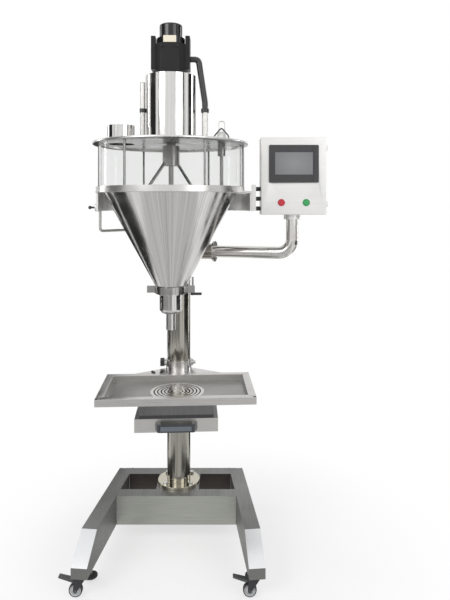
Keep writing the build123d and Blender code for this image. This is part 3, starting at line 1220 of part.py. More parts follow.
# Lift carriage: sleeve on the column, mast behind the hopper, half-ring yoke and arm stub
arm_plane = Plane(
    (COLUMN_X, COLUMN_Y, 0),
    x_dir=(cos(radians(ARM_YAW)), -sin(radians(ARM_YAW)), 0),
    z_dir=(-sin(radians(ARM_YAW)), -cos(radians(ARM_YAW)), 0),
)
arm_start = Plane(arm_plane.from_local_coords((0, ARM_Z, 0)), z_dir=arm_plane.x_dir)
SLEEVE_TOP_Z = COLUMN_TOP_Z

with BuildPart() as lift_carriage:
    with BuildSketch(floor_plane(0, 0, SLEEVE_BOTTOM_Z)):
        Circle(SLEEVE_RADIUS)
    extrude(amount=SLEEVE_TOP_Z - SLEEVE_BOTTOM_Z)
    with BuildSketch(floor_plane(0, (COLUMN_RADIUS + MAST_BACK_Y) / 2, SLEEVE_BOTTOM_Z)):
        Rectangle(MAST_WIDTH, MAST_BACK_Y - COLUMN_RADIUS)
    extrude(amount=SLEEVE_TOP_Z - SLEEVE_BOTTOM_Z)
    with BuildSketch(arm_start):
        Circle(ARM_STUB_RADIUS)
    extrude(amount=ARM_FLANGE_REACH)
    with BuildSketch(side_plane(0, 0, SLEEVE_TOP_Z - 2 * CLAMP_KNOB_RADIUS)):
        Circle(CLAMP_KNOB_RADIUS)
    extrude(amount=-SLEEVE_RADIUS - CLAMP_BOSS)
    with BuildSketch(floor_plane(0, 0, SLEEVE_BOTTOM_Z)):
        Circle(COLUMN_RADIUS + SLIDE_CLEARANCE)
    extrude(amount=SLEEVE_TOP_Z - SLEEVE_BOTTOM_Z, mode=Mode.SUBTRACT)
    with BuildSketch(side_plane(0, 0, SLEEVE_TOP_Z - 2 * CLAMP_KNOB_RADIUS)):
        Circle(CLAMP_STUD_RADIUS + PIN_CLEARANCE)
    extrude(amount=-SLEEVE_RADIUS - CLAMP_BOSS, mode=Mode.SUBTRACT)
save(lift_carriage, "lift_carriage")

save(clamp_knob(SLEEVE_RADIUS, SLEEVE_TOP_Z - 2 * CLAMP_KNOB_RADIUS), "carriage_clamp_knob")

with BuildPart() as hopper_yoke:
    with BuildSketch(floor_plane(0, HOPPER_Y, YOKE_BOTTOM_Z)):
        Circle(YOKE_OUTER_RADIUS)
        Circle(YOKE_INNER_RADIUS, mode=Mode.SUBTRACT)
        with Locations((0, -YOKE_OUTER_RADIUS)):
            Rectangle(2 * YOKE_OUTER_RADIUS, 2 * YOKE_OUTER_RADIUS, mode=Mode.SUBTRACT)
    extrude(amount=YOKE_HEIGHT)
    with BuildSketch(floor_plane(0, (YOKE_BACK_Y + MAST_BACK_Y) / 2, SLEEVE_TOP_Z)):
        Rectangle(MAST_WIDTH, MAST_BACK_Y - YOKE_BACK_Y)
    extrude(amount=YOKE_TOP_Z - SLEEVE_TOP_Z)
    strip_x = YOKE_OUTER_RADIUS + HINGE_STRIP_WIDTH / 2 - HINGE_STRIP_LAP
    with BuildSketch(floor_plane(strip_x, HOPPER_Y, YOKE_BOTTOM_Z)):
        Rectangle(HINGE_STRIP_WIDTH, HINGE_STRIP_THICKNESS)
    extrude(amount=YOKE_HEIGHT + HINGE_STRIP_OVER)
    with BuildSketch(side_plane(-YOKE_INNER_RADIUS, LATCH_Y, LATCH_Z)):
        Circle(LATCH_DISC_RADIUS)
    extrude(amount=-YOKE_THICKNESS - LATCH_DISC_THICKNESS)
    with BuildSketch(side_plane(-YOKE_INNER_RADIUS, LATCH_Y, LATCH_Z)):
        Circle(LATCH_STEM_RADIUS + PIN_CLEARANCE)
    extrude(amount=-YOKE_THICKNESS - LATCH_DISC_THICKNESS, mode=Mode.SUBTRACT)
save(hopper_yoke, "hopper_yoke")

# Latch pin with its ball knob, in the yoke's left end
with BuildPart() as latch_pin:
    latch_face_x = -YOKE_OUTER_RADIUS - LATCH_DISC_THICKNESS
    with BuildSketch(side_plane(-YOKE_INNER_RADIUS, LATCH_Y, LATCH_Z)):
        Circle(LATCH_STEM_RADIUS)
    extrude(amount=latch_face_x - LATCH_STEM_LENGTH + YOKE_INNER_RADIUS)
    with Locations((COLUMN_X + latch_face_x - LATCH_STEM_LENGTH, COLUMN_Y + LATCH_Y, LATCH_Z)):
        Sphere(LATCH_BALL_RADIUS, rotation=(0, 90, 0))
save(latch_pin, "latch_pin")

# Bent brace rod from the yoke's left end back to the mast
with BuildPart() as brace_rod:
    with BuildLine() as brace_path:
        brace_z = YOKE_BOTTOM_Z - BRACE_DROP
        brace_end_x = 2 * BRACE_RADIUS - MAST_WIDTH / 2
        brace_end_y = MAST_BACK_Y - BRACE_RADIUS
        FilletPolyline(
            (COLUMN_X + BRACE_X, COLUMN_Y + BRACE_Y, YOKE_BOTTOM_Z),
            (COLUMN_X + BRACE_X, COLUMN_Y + BRACE_Y, brace_z),
            (COLUMN_X + brace_end_x, COLUMN_Y + brace_end_y, brace_z),
            radius=BRACE_CORNER,
        )
    with BuildSketch(Plane(origin=brace_path.line @ 0, z_dir=brace_path.line % 0)):
        Circle(BRACE_RADIUS)
    sweep(path=brace_path.line)
    with BuildSketch(floor_plane(0, (YOKE_BACK_Y + MAST_BACK_Y) / 2, SLEEVE_TOP_Z)):
        Rectangle(MAST_WIDTH, MAST_BACK_Y - YOKE_BACK_Y)
    extrude(amount=YOKE_TOP_Z - SLEEVE_TOP_Z, mode=Mode.SUBTRACT)
save(brace_rod, "brace_rod")

# Control arm: flange on the stub, tube running out and bending up into the control box
ARM_REACH = BOX_X / cos(radians(ARM_YAW))
ARM_TOP_Z = BOX_BOTTOM_Z - BODY_GAP

with BuildPart() as control_arm:
    with BuildLine(arm_plane) as arm_line:
        FilletPolyline(
            (ARM_FLANGE_REACH, ARM_Z),
            (ARM_REACH, ARM_Z),
            (ARM_REACH, ARM_TOP_Z),
            radius=ARM_BEND_RADIUS,
        )
    with BuildSketch(Plane(origin=arm_line.line @ 0, z_dir=arm_line.line % 0)):
        Circle(ARM_RADIUS)
        Circle(ARM_RADIUS - ARM_WALL, mode=Mode.SUBTRACT)
    sweep(path=arm_line.line)
    with BuildSketch(Plane(origin=arm_line.line @ 0, z_dir=arm_line.line % 0)):
        Circle(ARM_FLANGE_RADIUS)
    extrude(amount=ARM_FLANGE_THICKNESS)
save(control_arm, "control_arm")

# Control box: open-fronted shell with a collar that turns on the arm's upright end
SHELL_FRONT_Y = DOOR_BACK_Y + BODY_GAP
SHELL_BACK_Y = BOX_FRONT_Y + BOX_DEPTH
SHELL_DEPTH = SHELL_BACK_Y - SHELL_FRONT_Y
SHELL_MIDDLE_Y = (SHELL_FRONT_Y + SHELL_BACK_Y) / 2
HINGE_X = BOX_RIGHT_X + HINGE_RADIUS
HINGE_Y = (DOOR_BACK_Y + SHELL_FRONT_Y) / 2
HINGE_HEIGHTS = (BOX_BOTTOM_Z + HINGE_INSET, BOX_TOP_Z - HINGE_INSET)

with BuildPart() as control_box:
    with BuildSketch(floor_plane(BOX_X, SHELL_MIDDLE_Y, BOX_BOTTOM_Z)):
        Rectangle(BOX_WIDTH, SHELL_DEPTH)
    extrude(amount=BOX_HEIGHT)
    with BuildSketch(front_plane(BOX_X, SHELL_BACK_Y - BOX_WALL, BOX_BOTTOM_Z)):
        with Locations((0, BOX_HEIGHT / 2)):
            Rectangle(BOX_WIDTH - 2 * BOX_WALL, BOX_HEIGHT - 2 * BOX_WALL)
    extrude(amount=SHELL_DEPTH, mode=Mode.SUBTRACT)
    with BuildSketch(floor_plane(BOX_X, BOX_Y, BOX_BOTTOM_Z)):
        Circle(BOX_COLLAR_RADIUS)
        Circle(ARM_RADIUS + SLIDE_CLEARANCE, mode=Mode.SUBTRACT)
    extrude(amount=-BOX_COLLAR_HEIGHT)
    for hinge_z in HINGE_HEIGHTS:
        with BuildSketch(floor_plane(HINGE_X, HINGE_Y, hinge_z)):
            Circle(HINGE_RADIUS)
            with Locations((-HINGE_RADIUS / 2, HINGE_RADIUS / 2)):
                Rectangle(HINGE_RADIUS, HINGE_RADIUS)
        extrude(amount=-HINGE_KNUCKLE)
        with BuildSketch(floor_plane(HINGE_X, HINGE_Y, hinge_z - HINGE_KNUCKLE)):
            Circle(HINGE_PIN_RADIUS)
        extrude(amount=2 * HINGE_KNUCKLE)
    with BuildSketch(side_plane(BOX_LEFT_X, BOX_Y)):
        for gland in range(GLAND_COUNT):
            with Locations((0, GLAND_TOP_Z - gland * GLAND_STEP)):
                Circle(GLAND_STEM_RADIUS + BOLT_CLEARANCE)
    extrude(amount=BOX_WALL, mode=Mode.SUBTRACT)
save(control_box, "control_box")

# Door: a folded panel with cut-outs for the screen and the buttons, and its hinge knuckles
DOOR_MIDDLE_Z = BOX_BOTTOM_Z + BOX_HEIGHT / 2
SCREEN_BODY_WIDTH = SCREEN_WIDTH - 2 * SCREEN_BODY_MARGIN
SCREEN_BODY_HEIGHT = SCREEN_HEIGHT - 2 * SCREEN_BODY_MARGIN
BUTTON_PLACES = {"start_button": LEFT, "stop_button": RIGHT}
BEZEL_TUBE_RADIUS = BUTTON_RADIUS + PIN_CLEARANCE + BEZEL_WALL

with BuildPart() as box_door:
    with BuildSketch(front_plane(BOX_X, DOOR_BACK_Y)):
        with Locations((0, DOOR_MIDDLE_Z)):
            RectangleRounded(BOX_WIDTH, BOX_HEIGHT, DOOR_CORNER)
    extrude(amount=DOOR_THICKNESS)
    fillet(box_door.faces().sort_by(Axis.Y)[0].edges(), radius=DOOR_EDGE)
    with BuildSketch(front_plane(BOX_X, DOOR_BACK_Y)):
        with Locations((0, DOOR_MIDDLE_Z)):
            Rectangle(BOX_WIDTH - 2 * DOOR_RIM, BOX_HEIGHT - 2 * DOOR_RIM)
    extrude(amount=DOOR_THICKNESS - BOX_WALL, mode=Mode.SUBTRACT)
    with BuildSketch(front_plane(BOX_X, DOOR_BACK_Y)):
        with Locations((0, SCREEN_CENTRE_Z)):
            Rectangle(SCREEN_BODY_WIDTH, SCREEN_BODY_HEIGHT)
        for side in BUTTON_PLACES.values():
            with Locations((side * BUTTON_SPACING / 2, BUTTON_Z)):
                Circle(BEZEL_TUBE_RADIUS)
    extrude(amount=DOOR_THICKNESS, mode=Mode.SUBTRACT)
    for hinge_z in HINGE_HEIGHTS:
        with BuildSketch(floor_plane(HINGE_X, HINGE_Y, hinge_z + BODY_GAP)):
            Circle(HINGE_RADIUS)
            with Locations((-HINGE_RADIUS, -HINGE_RADIUS / 2 - BODY_GAP)):
                Rectangle(2 * HINGE_RADIUS, HINGE_RADIUS)
            Circle(HINGE_PIN_RADIUS + PIN_CLEARANCE, mode=Mode.SUBTRACT)
        extrude(amount=HINGE_KNUCKLE - BODY_GAP)
save(box_door, "box_door")

with BuildPart() as touch_screen:
    with BuildSketch(front_plane(BOX_X, BOX_FRONT_Y)):
        with Locations((0, SCREEN_CENTRE_Z)):
            RectangleRounded(SCREEN_WIDTH, SCREEN_HEIGHT, SCREEN_CORNER)
    extrude(amount=SCREEN_PROUD)
    fillet(touch_screen.faces().sort_by(Axis.Y)[0].edges(), radius=DOOR_EDGE)
    with BuildSketch(front_plane(BOX_X, BOX_FRONT_Y)):
        with Locations((0, SCREEN_CENTRE_Z)):
            Rectangle(SCREEN_BODY_WIDTH - 2 * BOLT_CLEARANCE, SCREEN_BODY_HEIGHT - 2 * BOLT_CLEARANCE)
    extrude(amount=-SCREEN_BODY_DEPTH)
save(touch_screen, "touch_screen")

# Push buttons: the bezels with their barrels stay in the door, the caps travel in them
CAP_FRONT_Y = BOX_FRONT_Y - BUTTON_PROUD
CAP_BACK_Y = CAP_FRONT_Y + BUTTON_BODY_LENGTH - BUTTON_TRAVEL - BODY_GAP
BARREL_END_Y = CAP_FRONT_Y + BUTTON_BODY_LENGTH

with BuildPart() as button_bezels:
    for side in BUTTON_PLACES.values():
        bezel_x = BOX_X + side * BUTTON_SPACING / 2
        with BuildSketch(front_plane(bezel_x, BOX_FRONT_Y, BUTTON_Z)):
            Circle(BUTTON_BEZEL_RADIUS)
        extrude(amount=BUTTON_BEZEL_HEIGHT)
        with BuildSketch(front_plane(bezel_x, BOX_FRONT_Y, BUTTON_Z)):
            Circle(BEZEL_TUBE_RADIUS)
        extrude(amount=BOX_FRONT_Y - BARREL_END_Y - BOX_WALL)
        with BuildSketch(front_plane(bezel_x, BARREL_END_Y, BUTTON_Z)):
            Circle(BUTTON_RADIUS + PIN_CLEARANCE)
        extrude(amount=BUTTON_BODY_LENGTH, mode=Mode.SUBTRACT)
save(button_bezels, "button_bezels")

for button_name, side in BUTTON_PLACES.items():
    button_x = BOX_X + side * BUTTON_SPACING / 2
    with BuildPart() as button:
        with BuildSketch(front_plane(button_x, CAP_BACK_Y, BUTTON_Z)):
            Circle(BUTTON_RADIUS)
        extrude(amount=CAP_BACK_Y - CAP_FRONT_Y)
        fillet(button.faces().sort_by(Axis.Y)[0].edges(), radius=BUTTON_EDGE)
    save(button, button_name)

# Cable glands in the box's left side
with BuildPart() as cable_glands:
    for gland in range(GLAND_COUNT):
        gland_z = GLAND_TOP_Z - gland * GLAND_STEP
        with BuildSketch(front_plane(BOX_LEFT_X, BOX_Y, gland_z)):
            with BuildLine():
                Polyline(
                    (GLAND_LENGTH / 2, 0),
                    (GLAND_LENGTH / 2, GLAND_STEM_RADIUS),
                    (0, GLAND_STEM_RADIUS),
                    (0, GLAND_RADIUS),
                    (GLAND_EDGE - GLAND_LENGTH, GLAND_RADIUS),
                    (-GLAND_LENGTH, GLAND_RADIUS - GLAND_EDGE),
                    (-GLAND_LENGTH, 0),
                    close=True,
                )
            make_face()
        revolve(axis=Axis((COLUMN_X + BOX_LEFT_X, COLUMN_Y + BOX_Y, gland_z), (1, 0, 0)))
save(cable_glands, "cable_glands")
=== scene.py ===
"""Looks of the auger powder filler.

Finishes for every piece, the fine parts, the floor, the light and the camera.
"""
import json
from math import cos, pi, radians, sin, tan

import bmesh
import bpy
from mathutils import Matrix, Vector


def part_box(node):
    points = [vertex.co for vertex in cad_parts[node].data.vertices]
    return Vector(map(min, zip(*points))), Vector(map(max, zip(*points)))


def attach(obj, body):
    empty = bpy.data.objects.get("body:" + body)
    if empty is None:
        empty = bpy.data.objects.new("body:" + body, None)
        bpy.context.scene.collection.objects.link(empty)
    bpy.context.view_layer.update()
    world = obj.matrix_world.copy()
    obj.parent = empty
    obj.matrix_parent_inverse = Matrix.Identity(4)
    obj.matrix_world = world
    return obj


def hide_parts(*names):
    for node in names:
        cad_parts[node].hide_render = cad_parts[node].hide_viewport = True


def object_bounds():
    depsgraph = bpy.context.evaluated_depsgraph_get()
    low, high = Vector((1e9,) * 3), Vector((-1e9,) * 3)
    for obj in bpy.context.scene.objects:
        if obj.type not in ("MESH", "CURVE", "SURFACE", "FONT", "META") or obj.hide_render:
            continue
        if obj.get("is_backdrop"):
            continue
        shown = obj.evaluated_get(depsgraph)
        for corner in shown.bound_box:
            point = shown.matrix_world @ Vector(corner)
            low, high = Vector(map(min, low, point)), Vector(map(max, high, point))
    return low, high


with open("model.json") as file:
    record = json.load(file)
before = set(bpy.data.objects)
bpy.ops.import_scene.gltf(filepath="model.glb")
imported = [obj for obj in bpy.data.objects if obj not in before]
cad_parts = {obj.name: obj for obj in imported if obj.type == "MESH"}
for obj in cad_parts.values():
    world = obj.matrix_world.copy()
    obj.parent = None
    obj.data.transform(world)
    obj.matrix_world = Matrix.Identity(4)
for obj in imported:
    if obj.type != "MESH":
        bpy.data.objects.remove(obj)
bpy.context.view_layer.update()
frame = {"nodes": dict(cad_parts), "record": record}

# Places read from the frame. All lengths are in metres
column_low, column_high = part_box("column")
column_x = (column_low.x + column_high.x) / 2
column_y = (column_low.y + column_high.y) / 2
window_low, window_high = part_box("hopper_window")
hopper_x = (window_low.x + window_high.x) / 2
hopper_y = (window_low.y + window_high.y) / 2
hopper_axis = Vector((hopper_x, hopper_y, 0))
column_axis = Vector((column_x, column_y, 0))


# ---- Nodes and shared effects


def shader_node(tree, kind, **settings):
    node = tree.nodes.new(kind)
    for key, value in settings.items():
        if key in node.inputs:
            node.inputs[key].default_value = value
        else:
            setattr(node, key, value)
    return node


def maths(tree, operation, first, second, use_clamp=False):
    """A maths node. Each side is a socket or a plain number."""
    node = shader_node(tree, "ShaderNodeMath", operation=operation, use_clamp=use_clamp)
    for place, value in enumerate((first, second)):
        if isinstance(value, (int, float)):
            node.inputs[place].default_value = value
        else:
            tree.links.new(value, node.inputs[place])
    return node.outputs[0]


def vector_maths(tree, operation, first, second):
    node = shader_node(tree, "ShaderNodeVectorMath", operation=operation)
    tree.links.new(first, node.inputs[0])
    tree.links.new(second, node.inputs["Scale" if operation == "SCALE" else 1])
    return node.outputs["Vector"]


def value_between(tree, value, low, high, start=0.0, end=1.0, interpolation="LINEAR"):
    """Spreads a value from start and end out to low and high."""
    spread = shader_node(tree, "ShaderNodeMapRange", interpolation_type=interpolation)
    tree.links.new(value, spread.inputs["Value"])
    for label, level in (("From Min", start), ("From Max", end), ("To Min", low), ("To Max", high)):
        spread.inputs[label].default_value = level
    return spread.outputs["Result"]


def effect_group(name, inputs, outputs):
    """An empty shader node group with named inputs and outputs."""
    group = bpy.data.node_groups.new(name, "ShaderNodeTree")
    for label, kind, value in inputs:
        socket = group.interface.new_socket(label, in_out="INPUT", socket_type=kind)
        if value is not None:
            socket.default_value = value
    for label, kind in outputs:
        group.interface.new_socket(label, in_out="OUTPUT", socket_type=kind)
    entry = group.nodes.new("NodeGroupInput")
    leave = group.nodes.new("NodeGroupOutput")
    return group, entry.outputs, leave.inputs


def use_group(tree, group, vector, **settings):
    node = tree.nodes.new("ShaderNodeGroup")
    node.node_tree = group
    tree.links.new(vector, node.inputs["Vector"])
    for key, value in settings.items():
        node.inputs[key].default_value = value
    return node


def contrasted_noise(group, place, contrast, detail, roughness):
    """Noise drawn away from its middle by the contrast, and held within 0 and 1."""
    middle = 0.5
    noise = shader_node(
        group, "ShaderNodeTexNoise", Scale=1.0, Detail=detail, Roughness=roughness
    )
    group.links.new(place, noise.inputs["Vector"])
    centred = maths(group, "SUBTRACT", noise.outputs["Fac"], middle)
    drawn = maths(group, "MULTIPLY", centred, contrast)
    return maths(group, "ADD", drawn, middle, use_clamp=True)


def make_round_grain():
    """Streaks that run up and down a turned or rolled sheet, seamless all the way round."""
    group, entry, leave = effect_group(
        "round_grain",
        [
            ("Vector", "NodeSocketVector", None),
            ("Around", "NodeSocketFloat", 40.0),
            ("Along", "NodeSocketFloat", 1.5),
            ("Contrast", "NodeSocketFloat", 1.0),
        ],
        [("Shade", "NodeSocketFloat")],
    )
    links = group.links
    parts = shader_node(group, "ShaderNodeSeparateXYZ")
    links.new(entry["Vector"], parts.inputs[0])
    flat = shader_node(group, "ShaderNodeCombineXYZ")
    links.new(parts.outputs["X"], flat.inputs["X"])
    links.new(parts.outputs["Y"], flat.inputs["Y"])
    unit = shader_node(group, "ShaderNodeVectorMath", operation="NORMALIZE")
    links.new(flat.outputs[0], unit.inputs[0])
    spread = vector_maths(group, "SCALE", unit.outputs["Vector"], entry["Around"])
    lift = shader_node(group, "ShaderNodeCombineXYZ")
    links.new(maths(group, "MULTIPLY", parts.outputs["Z"], entry["Along"]), lift.inputs["Z"])
    place = vector_maths(group, "ADD", spread, lift.outputs[0])
    shade = contrasted_noise(group, place, entry["Contrast"], 5.0, 0.62)
    links.new(shade, leave["Shade"])
    return group


def make_straight_grain():
    """Grinding lines on flat or straight sheet, drawn out along one direction by the stretch."""
    group, entry, leave = effect_group(
        "straight_grain",
        [
            ("Vector", "NodeSocketVector", None),
            ("Stretch", "NodeSocketVector", (1.0, 1.0, 1.0)),
            ("Contrast", "NodeSocketFloat", 1.0),
        ],
        [("Shade", "NodeSocketFloat")],
    )
    place = vector_maths(group, "MULTIPLY", entry["Vector"], entry["Stretch"])
    shade = contrasted_noise(group, place, entry["Contrast"], 4.0, 0.6)
    group.links.new(shade, leave["Shade"])
    return group


def make_handling_marks():
    """Soft smears left by wiping and by hands: a mask from 0, clean, to 1, dull."""
    group, entry, leave = effect_group(
        "handling_marks",
        [
            ("Vector", "NodeSocketVector", None),
            ("Scale", "NodeSocketFloat", 7.0),
            ("Amount", "NodeSocketFloat", 0.5),
        ],
        [("Mask", "NodeSocketFloat")],
    )
    noise = shader_node(group, "ShaderNodeTexNoise", Detail=3.0, Roughness=0.55, Distortion=0.6)
    group.links.new(entry["Vector"], noise.inputs["Vector"])
    group.links.new(entry["Scale"], noise.inputs["Scale"])
    smears = value_between(group, noise.outputs["Fac"], 0.0, 1.0, start=0.42, end=0.68)
    group.links.new(maths(group, "MULTIPLY", smears, entry["Amount"]), leave["Mask"])
    return group


def make_moulded_grain():
    """Fine pebbled texture of moulded plastic and of enamel: a height and a speckle mask."""
    group, entry, leave = effect_group(
        "moulded_grain",
        [("Vector", "NodeSocketVector", None), ("Scale", "NodeSocketFloat", 900.0)],
        [("Height", "NodeSocketFloat"), ("Mask", "NodeSocketFloat")],
    )
    links = group.links
    fine = shader_node(group, "ShaderNodeTexNoise", Detail=2.0, Roughness=0.5)
    links.new(entry["Vector"], fine.inputs["Vector"])
    links.new(entry["Scale"], fine.inputs["Scale"])
    links.new(fine.outputs["Fac"], leave["Height"])
    coarse = shader_node(group, "ShaderNodeTexNoise", Scale=18.0, Detail=3.0)
    links.new(entry["Vector"], coarse.inputs["Vector"])
    links.new(coarse.outputs["Fac"], leave["Mask"])
    return group


round_grain = make_round_grain()
straight_grain = make_straight_grain()
handling_marks = make_handling_marks()
moulded_grain = make_moulded_grain()


# ---- Finishes


def new_finish(name):
    """A material with its shader, and the object's own coordinates to draw on."""
    finish = bpy.data.materials.new(name)
    finish.use_nodes = True
    tree = finish.node_tree
    surface = tree.nodes["Principled BSDF"]
    place = shader_node(tree, "ShaderNodeTexCoord")
    return finish, tree, surface, place.outputs["Object"]


def centred_on(tree, vector, centre):
    mapping = shader_node(tree, "ShaderNodeMapping")
    mapping.inputs["Location"].default_value = -Vector(centre)
    tree.links.new(vector, mapping.inputs["Vector"])
    return mapping.outputs["Vector"]


def shade_between(tree, value, dark, light):
    mix = shader_node(tree, "ShaderNodeMix", data_type="RGBA")
    tree.links.new(value, mix.inputs["Factor"])
    mix.inputs["A"].default_value = (*dark, 1)
    mix.inputs["B"].default_value = (*light, 1)
    return mix.outputs["Result"]


def grain_bump(tree, surface, height, strength, distance):
    bump = shader_node(tree, "ShaderNodeBump")
    bump.inputs["Strength"].default_value = strength
    bump.inputs["Distance"].default_value = distance
    tree.links.new(height, bump.inputs["Height"])
    tree.links.new(bump.outputs["Normal"], surface.inputs["Normal"])


def scaled(colour, share):
    return tuple(channel * share for channel in colour)


def worn_steel(tree, surface, place, grain, rough_from, rough_to, marks_scale, marks_amount):
    """Bare metal whose polish follows its grain and is dulled by handling."""
    marks = use_group(tree, handling_marks, place, Scale=marks_scale, Amount=marks_amount)
    rough = value_between(tree, grain, rough_from, rough_to)
    worn = maths(tree, "ADD", rough, marks.outputs["Mask"])
    tree.links.new(worn, surface.inputs["Roughness"])
    surface.inputs["Metallic"].default_value = 1.0


FINER_ROUND, FINER_ALONG = 7, 5


def rolled_steel(name, colour, polish, centre, around, along, contrast, depth):
    """Stainless sheet rolled round an upright axis, ground up and down."""
    finish, tree, surface, place = new_finish(name)
    middle = centred_on(tree, place, centre)
    wide = use_group(tree, round_grain, middle, Around=around, Along=along, Contrast=contrast)
    fine = use_group(
        tree, round_grain, middle, Around=around * FINER_ROUND, Along=along * FINER_ALONG,
        Contrast=1.0,
    )
    grain = wide.outputs["Shade"]
    shade = shade_between(tree, grain, scaled(colour, 1 - depth), scaled(colour, 1 + depth / 3))
    tree.links.new(shade, surface.inputs["Base Color"])
    worn_steel(tree, surface, place, grain, polish * 1.25, polish * 0.8, 6.0, 0.12)
    grain_bump(tree, surface, fine.outputs["Shade"], 0.12, 0.0003)
    return finish


def ground_steel(name, colour, polish, stretch, contrast=1.0, depth=0.12, marks_amount=0.1):
    """Flat stainless sheet with straight grinding lines."""
    finish, tree, surface, place = new_finish(name)
    lines = use_group(tree, straight_grain, place, Stretch=stretch, Contrast=contrast)
    grain = lines.outputs["Shade"]
    shade = shade_between(tree, grain, scaled(colour, 1 - depth), scaled(colour, 1 + depth / 2))
    tree.links.new(shade, surface.inputs["Base Color"])
    worn_steel(tree, surface, place, grain, polish * 1.2, polish * 0.85, 5.0, marks_amount)
    grain_bump(tree, surface, grain, 0.1, 0.0003)
    return finish


def moulded(name, colour, polish, grain_scale=900.0, spread=0.25, depth=0.2, coat=0.0, shine=0.5):
    """Moulded plastic, rubber or enamel."""
    finish, tree, surface, place = new_finish(name)
    grain = use_group(tree, moulded_grain, place, Scale=grain_scale)
    shade = shade_between(
        tree, grain.outputs["Mask"], scaled(colour, 1 - spread), scaled(colour, 1 + spread)
    )
    tree.links.new(shade, surface.inputs["Base Color"])
    rough = value_between(tree, grain.outputs["Mask"], polish * 0.85, polish * 1.15)
    tree.links.new(rough, surface.inputs["Roughness"])
    surface.inputs["Coat Weight"].default_value = coat
    surface.inputs["Specular IOR Level"].default_value = shine
    grain_bump(tree, surface, grain.outputs["Height"], depth, 0.0002)
    return finish


# Grinding lines per metre along x, y and z: few along the lines, many across them
LENGTHWISE = (260.0, 9.0, 260.0)
CROSSWISE = (9.0, 260.0, 260.0)
UPRIGHT = (260.0, 260.0, 9.0)
ALONG_ARM = (40.0, 120.0, 60.0)

# Rolled: name, colour, roughness, axis, streaks round it, streaks along it, contrast, depth.
# Ground: name, colour, roughness, direction, contrast, depth, smears.
cone_steel = rolled_steel("cone_steel", (0.68, 0.67, 0.66), 0.12, hopper_axis, 34.0, 0.7, 1.9, 0.3)
ring_steel = rolled_steel("ring_steel", (0.66, 0.65, 0.64), 0.26, hopper_axis, 9.0, 60.0, 1.0, 0.15)
lid_steel = ground_steel("lid_steel", (0.70, 0.69, 0.68), 0.24, CROSSWISE)
mirror_steel = rolled_steel(
    "mirror_steel", (0.74, 0.73, 0.715), 0.07, hopper_axis, 22.0, 0.8, 1.6, 0.22
)
column_steel = rolled_steel(
    "column_steel", (0.43, 0.415, 0.37), 0.1, column_axis, 16.0, 0.9, 1.7, 0.3
)
frame_steel = ground_steel("frame_steel", (0.25, 0.25, 0.245), 0.42, LENGTHWISE, 1.3, 0.2)
beam_steel = ground_steel("beam_steel", (0.47, 0.48, 0.44), 0.38, CROSSWISE, 1.3, 0.2)
tray_steel = ground_steel("tray_steel", (0.60, 0.59, 0.575), 0.27, CROSSWISE, 1.2, 0.16)
# Darker steel for the tray's sunk floor: painted shade in the recess
recess_shade_steel = ground_steel("recess_shade_steel", (0.31, 0.305, 0.29), 0.26, CROSSWISE, 1.4, 0.25)
strainer_steel = ground_steel("strainer_steel", (0.62, 0.61, 0.58), 0.16, CROSSWISE, 1.2, 0.2)
# Near-black steel for the beams' faces in the bay between them: painted shade
bay_shade_steel = ground_steel("bay_shade_steel", (0.11, 0.095, 0.085), 0.4, CROSSWISE, 1.2, 0.2)
clamp_steel = rolled_steel(
    "clamp_steel", (0.5, 0.49, 0.48), 0.14, hopper_axis, 22.0, 3.0, 1.4, 0.25
)
post_steel = ground_steel("post_steel", (0.3, 0.3, 0.3), 0.2, UPRIGHT, 1.0, 0.2)
mast_steel = ground_steel("mast_steel", (0.44, 0.415, 0.375), 0.2, UPRIGHT, 1.4, 0.25)
stirrer_steel = ground_steel("stirrer_steel", (0.27, 0.265, 0.26), 0.24, UPRIGHT, 1.2, 0.2)
flange_steel = rolled_steel(
    "flange_steel", (0.56, 0.53, 0.44), 0.14, column_axis, 12.0, 4.0, 1.4, 0.2
)
chute_steel = ground_steel("chute_steel", (0.2, 0.2, 0.205), 0.1, UPRIGHT, 1.0, 0.3)
drawer_steel = ground_steel("drawer_steel", (0.60, 0.59, 0.57), 0.33, CROSSWISE, 1.1, 0.14)
yoke_steel = ground_steel("yoke_steel", (0.74, 0.735, 0.725), 0.4, CROSSWISE, 1.2, 0.14)
cover_steel = ground_steel("cover_steel", (0.62, 0.61, 0.6), 0.22, CROSSWISE, 1.2, 0.2)
# Darker steel for the lid's underside: painted shade under the lid
lid_underside_shade_steel = ground_steel("lid_underside_shade_steel", (0.36, 0.36, 0.36), 0.25, CROSSWISE, 1.2, 0.2)
arm_steel = ground_steel("arm_steel", (0.64, 0.625, 0.60), 0.14, ALONG_ARM, 1.0, 0.14)
box_steel = ground_steel("box_steel", (0.74, 0.735, 0.725), 0.38, CROSSWISE, 1.0, 0.1)
plain_steel = ground_steel("plain_steel", (0.58, 0.575, 0.56), 0.25, UPRIGHT, 1.0, 0.14)
# Near-white steel for the legs' slanted front ends: a painted highlight
end_highlight_steel = ground_steel("end_highlight_steel", (0.84, 0.85, 0.86), 0.3, LENGTHWISE, 1.0, 0.06)
chrome = ground_steel("chrome", (0.80, 0.80, 0.80), 0.08, UPRIGHT, 1.0, 0.08, 0.04)
